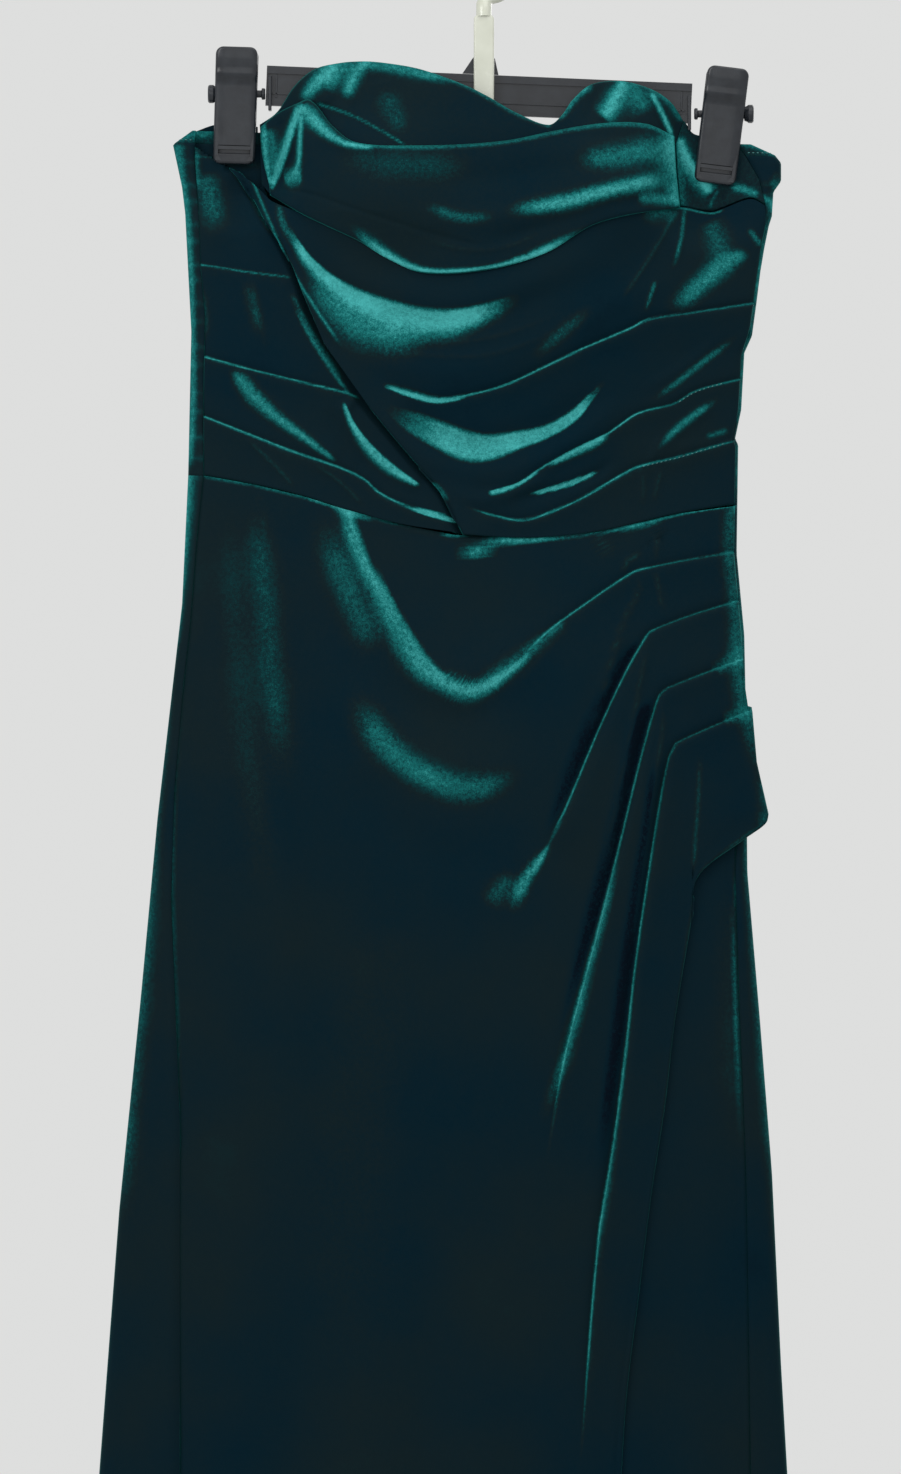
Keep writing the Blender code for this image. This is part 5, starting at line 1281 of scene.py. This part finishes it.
BACK_SKIRT_FOLDS = (
    Fold("roll", 2.6, 16, 0, (0.05, 0), ((-120, -362), (-126, -500), (-138, -800), (-160, -1455))),
    Fold("trough", 2.2, 15, 0, (0.05, 0), ((-84, -365), (-88, -520), (-98, -800), (-112, -1455))),
    Fold("roll", 2.8, 18, 0, (0.08, 0), ((-46, -368), (-50, -560), (-56, -820), (-66, -1455))),
    Fold("trough", 2.0, 16, 0, (0.1, 0), ((-4, -370), (-8, -560), (-10, -860), (-14, -1455))),
    Fold("roll", 2.6, 16, 0, (0.06, 0), ((34, -371), (36, -520), (40, -820), (46, -1455))),
    Fold("trough", 2.2, 15, 0, (0.06, 0), ((76, -371), (80, -520), (90, -820), (104, -1455))),
    Fold("roll", 2.4, 16, 0, (0.05, 0), ((116, -371), (122, -520), (136, -820), (156, -1455))),
    Fold("trough", 1.8, 14, 0, (0.2, 0.3), ((-150, -400), (-90, -430), (-20, -445), (50, -440), (120, -410))),
    Fold("roll", 1.8, 12, 0.04, (0.2, 0.3), ((-160, -420), (-96, -458), (-20, -474), (60, -464), (130, -430))),
)
# Painted highlights on the back of the skirt
BACK_SKIRT_PAINTED_LIGHT = (
    PaintedLight(0.4, "none", (0, 0), ((-205, -351, 1.2), (-60, -358, 1.2), (170, -370.2, 1.2))),
    PaintedLight(0.62, "none", (0, 0.3), ((-193.5, -352, 5), (-195, -370, 5), (-197, -400, 4), (-200, -440, 3), (-204, -480, 2.6))),
    PaintedLight(0.3, "none", (0, 0.2), ((-206, -480, 3), (-214, -560, 5), (-222, -660, 6), (-232, -760, 7), (-240, -850, 6))),
    PaintedLight(0.3, "none", (0.1, 0.4), ((166, -372, 3), (168, -430, 3), (172, -520, 3), (172, -610, 3), (180, -700, 4),
        (188, -800, 4), (194, -930, 4))),
    PaintedLight(0.24, "none", (0.3, 0.5), ((-118, -390, 5), (-124, -520, 11), (-136, -720, 12), (-146, -900, 10))),
    PaintedLight(0.2, "none", (0.3, 0.5), ((38, -380, 5), (41, -470, 10), (44, -640, 13))),
    PaintedLight(0.2, "none", (0.3, 0.5), ((112, -385, 5), (120, -480, 9), (130, -600, 9), (142, -860, 9))),
    PaintedLight(0.34, "above", (0.3, 0.35), ((-104, -448, 3), (-72, -462, 6), (-30, -472, 8), (10, -472, 6), (48, -462, 3))),
    PaintedLight(0.2, "none", (0.3, 0.4), ((-66, -500, 4), (-30, -512, 9), (14, -510, 6))),
)
skirt_rows = np.concatenate([np.linspace(0, 0.3, 80, endpoint=False), np.linspace(0.3, 1, 70)])
skirt_back = back_piece(
    "skirt_back_panel", BACK_WAIST, (HEM_Z, HEM_Z), None, 150, BACK_SKIRT_FOLDS, BACK_SKIRT_PAINTED_LIGHT, rows=skirt_rows)
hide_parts("skirt_back")

# %% [markdown]
# ## Stitches
# A row of stitching shows below the band's edge and as glints along the pleats near the side seam. One small bead is
# made with a sphere primitive of few faces, flattened, and copied along each line.

# %% Stitch rows
STITCH_LONG = 1.7
STITCH_THICK = 0.32
STITCH_STEP = 3.0
THREAD = Finish("thread", Roughness=0.6, Sheen_Weight=0.2)
THREAD.feed("Base Color", THREAD.ramp(
    THREAD.noise(700.0, 2.0), (0.3, (0.02, 0.11, 0.11, 1)), (0.8, (0.05, 0.24, 0.23, 1))))


def stitch_rows(name, rows):
    """rows holds arrays of (x, y, z) in millimetres that lie on the cloth."""
    bm = bmesh.new()
    for row in rows:
        run = np.concatenate([[0], np.cumsum(np.linalg.norm(np.diff(row, axis=0), axis=1))])
        for at in np.arange(STITCH_STEP, run[-1] - STITCH_STEP, STITCH_STEP):
            here = Vector([np.interp(at, run, row[:, i]) for i in range(3)])
            ahead = Vector([np.interp(at + 1, run, row[:, i]) for i in range(3)])
            turn = (ahead - here).to_track_quat("X", "Z").to_matrix().to_4x4()
            shape = Matrix.Diagonal((STITCH_LONG / 2 * MM, STITCH_THICK * MM, STITCH_THICK * MM, 1))
            bmesh.ops.create_icosphere(
                bm, subdivisions=1, radius=1, matrix=Matrix.Translation(here * MM) @ turn @ shape)
    mesh = bpy.data.meshes.new(name)
    bm.to_mesh(mesh)
    bm.free()
    mesh.shade_smooth()
    mesh.materials.append(THREAD.material)
    obj = bpy.data.objects.new(name, mesh)
    bpy.context.scene.collection.objects.link(obj)
    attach(obj, "root")
    print(name, len(mesh.polygons), "faces")
    return obj


def on_front(points, proud, right_edge=RIGHT_EDGE):
    line = smooth_line(points, 60)
    y = front_y(line[:, 0], line[:, 1], right_edge) - proud
    return np.stack([line[:, 0], y, line[:, 1]], axis=1)


def on_band():
    row, _ = round_back(-131, -139.8, 200)
    row[:, 1] += np.where(row[:, 1] > 4, 0.1, 0)
    return row


pleat_stitches = stitch_rows("pleat_stitches", [
    on_front(((101, -345.2), (128, -338.4), (160, -328.5)), 3.2),
    on_front(((125, -303.8), (138, -296), (160, -289)), 3.2),
])
band_stitches = stitch_rows("band_stitches", [on_band()])

# %% [markdown]
# ## The hanger's bar
# The bar is an I-section moulding, lighter in its recessed web, with a thin rib above the lower flange. Its solids
# have the right shape, so they stay and only get the plastic's finish; the rib is added on top.

# %% Bar
BAR_TILT = 2.43
BAR_LEFT = -141.5
BAR_RIGHT = 136.0
BAR_TOP = -88.6
BAR_FLANGE = 2.7
BAR_WEB = 1.4


def finish_object(name, bm, material, bevel=0.0, segments=2):
    mesh = bpy.data.meshes.new(name)
    bm.to_mesh(mesh)
    bm.free()
    mesh.shade_smooth()
    mesh.set_sharp_from_angle(angle=math.radians(42))
    mesh.materials.append(material)
    obj = bpy.data.objects.new(name, mesh)
    bpy.context.scene.collection.objects.link(obj)
    if bevel:
        rounding = obj.modifiers.new("rounding", "BEVEL")
        rounding.width = bevel * MM
        rounding.segments = segments
        rounding.limit_method = "ANGLE"
        rounding.harden_normals = True
    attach(obj, "root")
    print(name, len(mesh.polygons), "faces")
    return obj


def boxed(bm, low, high, turn=Matrix()):
    """A block between two corners, in millimetres."""
    low = Vector(low)
    high = Vector(high)
    place = Matrix.Translation((low + high) / 2 * MM) @ Matrix.Diagonal((*((high - low) * MM), 1))
    return bmesh.ops.create_cube(bm, size=1, matrix=turn @ place)["verts"]


def placed(x, y, z, tilt):
    return Matrix.Translation((x * MM, y * MM, z * MM)) @ Matrix.Rotation(math.radians(tilt), 4, "Y")


for name in ("hanger_bar", "hanger_gusset"):
    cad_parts[name].data.materials.clear()
    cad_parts[name].data.materials.append(BLACK)

bm = bmesh.new()
bar_turn = placed(0, 0, BAR_TOP, BAR_TILT)
for side in (-1, 1):
    near, far = sorted((side * (BAR_WEB - 0.2), side * (BAR_WEB + 0.6)))
    boxed(bm, (BAR_LEFT + 4, near, -18.6), (BAR_RIGHT - 4, far, -17.2), bar_turn)
    for x in (BAR_LEFT + 6, BAR_RIGHT - 7):
        boxed(bm, (x, near, -20.8), (x + 1.2, far, -5.2), bar_turn)
bar_ribs = finish_object("bar_ribs", bm, BLACK, bevel=0.25)

# %% [markdown]
# ## The clips
# Each clip has a front and a back jaw that pivot on a pin. A jaw is a long plate with round corners: its top third
# swells outwards as a thumb pad, and a slot lies near its foot. A subdivided plate is bent into that shape by moving
# its vertices, and an inset cut gives the slot.

# %% Clips
JAW_HIGH = 38.0
JAW_WIDTH = 27.4
JAW_COLUMNS = 30
JAW_ROWS = 84
JAW_CORNER = 5.0
PLATE = 2.4
RIM = 1.6
SLOT = (-32.0, -25.4, 10.8)
SLOT_DEEP = 2.2
PIN_HEAD = 4.3


def jaw_depth(u, v, pin):
    """How far the outer face stands off the hanger's plane at height v, cambered across u."""
    low = np.interp(v, (-38, -30, pin - 6, pin + 6, 26, 38), (6.2, 6.8, 8.6, 9.6, 11.8, 13.4))
    pad = 1.3 * ease(v, 14, 20) * (1 - 0.5 * ease(v, 30, 38)) + 0.9 * np.exp(-((v - 20.5) / 2.4) ** 2)
    return low + pad - 1.3 * (u / (JAW_WIDTH / 2)) ** 4


def build_jaw(bm, clip, side):
    pin = clip.pin_z - clip.z
    half = JAW_WIDTH / 2
    turn = placed(clip.x, 0, clip.z, clip.tilt)
    grid = bmesh.ops.create_grid(bm, x_segments=JAW_COLUMNS, y_segments=JAW_ROWS, size=1)["verts"]
    faces = set()
    for vert in grid:
        # The sines crowd the grid's lines at the rim, which has to be round
        u = math.sin(vert.co.x * math.pi / 2) * half
        v = math.sin(vert.co.y * math.pi / 2) * JAW_HIGH
        # The four corners are drawn in to a round
        over_u = max(abs(u) - (half - JAW_CORNER), 0)
        over_v = max(abs(v) - (JAW_HIGH - JAW_CORNER), 0)
        away = math.hypot(over_u, over_v)
        far = max(over_u, over_v)
        if away > 1e-6 and far > 0:
            scale = far / away
            u = math.copysign(min(abs(u), half - JAW_CORNER) + over_u * scale, u)
            v = math.copysign(min(abs(v), JAW_HIGH - JAW_CORNER) + over_v * scale, v)
        border = min(half - abs(u), JAW_HIGH - abs(v))
        if far > 0:
            border = min(border, JAW_CORNER - far)
        rim = min(max(border, 0) / RIM, 1)
        depth = float(jaw_depth(u, v, pin)) - RIM * (1 - math.sqrt(1 - (1 - rim) ** 2))
        vert.co = Vector((u, -side * depth, v)) * MM
        faces.update(vert.link_faces)
    slot = [
        face for face in faces
        if SLOT[0] < face.calc_center_median().z / MM < SLOT[1] and abs(face.calc_center_median().x / MM) < SLOT[2]]
    inset = bmesh.ops.inset_region(bm, faces=slot, thickness=0.35 * MM, depth=0)
    sunk = {vert for face in slot for vert in face.verts}
    for vert in sunk:
        vert.co.y += side * SLOT_DEEP * MM
    grown = bmesh.ops.extrude_face_region(bm, geom=list(faces) + inset["faces"], use_keep_orig=True)["geom"]
    for vert in grown:
        if isinstance(vert, bmesh.types.BMVert):
            vert.co.y = -side * float(jaw_depth(vert.co.x / MM, vert.co.z / MM, pin) - PLATE) * MM
    bmesh.ops.transform(bm, matrix=turn, verts=bm.verts)


def build_clip(clip):
    made = []
    for name, side in (("front", 1), ("back", -1)):
        bm = bmesh.new()
        build_jaw(bm, clip, side)
        turn = placed(clip.x, 0, clip.z, clip.tilt)
        pin = clip.pin_z - clip.z
        half = JAW_WIDTH / 2
        # Side webs run from the plate to the grip, and a lip closes on the cloth
        for edge in (-1, 1):
            u0, u1 = sorted((edge * (half - 3.2), edge * (half - 1.4)))
            y0, y1 = sorted((-side * 3.2, -side * 6.6))
            boxed(bm, (u0, y0, -33), (u1, y1, pin + 7), turn)
        y0, y1 = sorted((-side * (PINCHED + 0.6), -side * 6.2))
        boxed(bm, (-half + 1.6, y0, -36), (half - 1.6, y1, -31.5), turn)
        bar = [-side * 5.2, -side * 6.6]
        boxed(bm, (-SLOT[2], min(bar), -28.6), (SLOT[2], max(bar), -26.3), turn)
        bmesh.ops.recalc_face_normals(bm, faces=bm.faces)
        jaw = finish_object(f"jaw_{clip.side}_{name}", bm, BLACK)
        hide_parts(f"clip_{clip.side}_{name}")
        made.append(jaw)
    bm = bmesh.new()
    way = math.copysign(1, clip.x)
    length = clip.outer_x - clip.inner_x - PIN_HEAD * way
    profile = (
        (0, 0), (0, 3.2), (0.6 * way, 3.8), (2.2 * way, 3.8), (2.6 * way, 2.4), (length - 2.2 * way, 2.4),
        (length - 1.6 * way, 4.6), (length, 5.2), (length + 1.0 * way, 6.0), (length + 3.4 * way, 6.0),
        (length + 4.3 * way, 5.2), (length + 4.5 * way, 3.6), (length + 3.9 * way, 2.6), (length + 3.9 * way, 0))
    ring = [bm.verts.new((along * MM, 0, away * MM)) for along, away in profile]
    edges = [bm.edges.new(pair) for pair in zip(ring, ring[1:])]
    bmesh.ops.spin(bm, geom=ring + edges, axis=(1, 0, 0), cent=(0, 0, 0), steps=40, angle=math.tau, use_merge=True)
    bmesh.ops.remove_doubles(bm, verts=bm.verts, dist=0.00001)
    bmesh.ops.recalc_face_normals(bm, faces=bm.faces)
    bmesh.ops.translate(bm, verts=bm.verts, vec=Vector((clip.inner_x, 0, clip.pin_z)) * MM)
    pin = finish_object(f"pin_{clip.side}", bm, BLACK, bevel=0.2)
    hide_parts(f"clip_{clip.side}_pin")
    bm = bmesh.new()
    # The bar ends in a forked ear that carries the pin
    inner = clip.inner_x + (2.0 if clip.side == "left" else -2.0)
    ear = sorted((inner, inner + (2.2 if clip.side == "left" else -2.2)))
    boxed(bm, (ear[0], -5.2, clip.pin_z - 11), (ear[1], 5.2, clip.pin_z + 12))
    ears = finish_object(f"ear_{clip.side}", bm, BLACK, bevel=0.6, segments=3)
    return made + [pin, ears]


for clip in CLIPS:
    build_clip(clip)

# %% [markdown]
# ## The shank and the hook
# The shank is a flat glossy moulding in front of the bar, with round shoulders. A round hook leaves its top and bends
# over the rod. A circle is extruded along the hook's path one step at a time, which keeps its thickness even.

# %% Shank and hook
SHANK_WIDTH = 13.3
SHANK_DEPTH = 6.0
SHANK_TOP = -49.7
SHANK_BOTTOM = -110.0
HOOK_RADIUS = 18.0
HOOK_WIRE = 3.6
STEM_WIRE = 5.1
STEM_STRAIGHT = 6
STEM_STEPS = 12
STEM_TAPER = (HOOK_WIRE / STEM_WIRE) ** (1 / STEM_STEPS)
SHANK_Y = -BAR_FLANGE - 0.3 - SHANK_DEPTH / 2


def build_shank():
    bm = bmesh.new()
    verts = boxed(
        bm, (-SHANK_WIDTH / 2, SHANK_Y - SHANK_DEPTH / 2, SHANK_BOTTOM), (SHANK_WIDTH / 2, SHANK_Y + SHANK_DEPTH / 2, SHANK_TOP))
    upright = [edge for edge in bm.edges if abs(edge.verts[0].co.z - edge.verts[1].co.z) < 1e-6
               and abs(edge.verts[0].co.x - edge.verts[1].co.x) < 1e-6]
    bmesh.ops.bevel(
        bm, geom=upright, offset=3.4 * MM, segments=5, profile=0.5, affect="EDGES", material=-1, offset_type="OFFSET")
    shank = finish_object("shank_flat", bm, CREAM, bevel=1.3, segments=4)
    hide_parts("hook_shank")
    return shank


def build_hook():
    bend = HOOK_RADIUS + HOOK_WIRE
    route = [
        (0, SHANK_Y, SHANK_TOP - 1.5), (0, SHANK_Y * 0.85, SHANK_TOP + 4), (0.4, SHANK_Y * 0.6, SHANK_TOP + 8),
        (3.5, SHANK_Y * 0.3, SHANK_TOP + 11)]
    for angle in range(-62, 221, 15):
        turn = math.radians(angle)
        route.append((bend * math.cos(turn), 0, -HOOK_RADIUS + bend * math.sin(turn)))
    path = smooth_line(np.array(route, float)[:, (0, 2, 1)], 90)[:, (0, 2, 1)]
    bm = bmesh.new()
    ring = bmesh.ops.create_circle(bm, cap_ends=True, segments=20, radius=STEM_WIRE * MM)["verts"]
    run = np.gradient(path, axis=0)
    first = Matrix.Translation(Vector(path[0]) * MM) @ Vector(run[0]).to_track_quat("Z", "Y").to_matrix().to_4x4()
    bmesh.ops.transform(bm, matrix=first, verts=ring)
    face = list(bm.faces)
    last = Vector(run[0]).normalized()
    for step, (here, there, way) in enumerate(zip(path, path[1:], run[1:])):
        grown = bmesh.ops.extrude_face_region(bm, geom=face)["geom"]
        # The first face stays as the hook's end; the others would lie inside it
        if step:
            bmesh.ops.delete(bm, geom=face, context="FACES_ONLY")
        verts = [part for part in grown if isinstance(part, bmesh.types.BMVert)]
        face = [part for part in grown if isinstance(part, bmesh.types.BMFace)]
        now = Vector(way).normalized()
        swing = last.rotation_difference(now).to_matrix().to_4x4()
        slim = Matrix.Scale(STEM_TAPER if STEM_STRAIGHT <= step < STEM_STRAIGHT + STEM_STEPS else 1, 4)
        at = Matrix.Translation(Vector(there) * MM) @ swing @ slim @ Matrix.Translation(-Vector(here) * MM)
        bmesh.ops.transform(bm, matrix=at, verts=verts)
        last = now
    tip = face
    bmesh.ops.inset_region(bm, faces=tip, thickness=1.2 * MM, depth=0.9 * MM)
    bmesh.ops.recalc_face_normals(bm, faces=bm.faces)
    hook = finish_object("hook_round", bm, CREAM)
    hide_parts("hook_bend")
    return hook


build_shank()
build_hook()
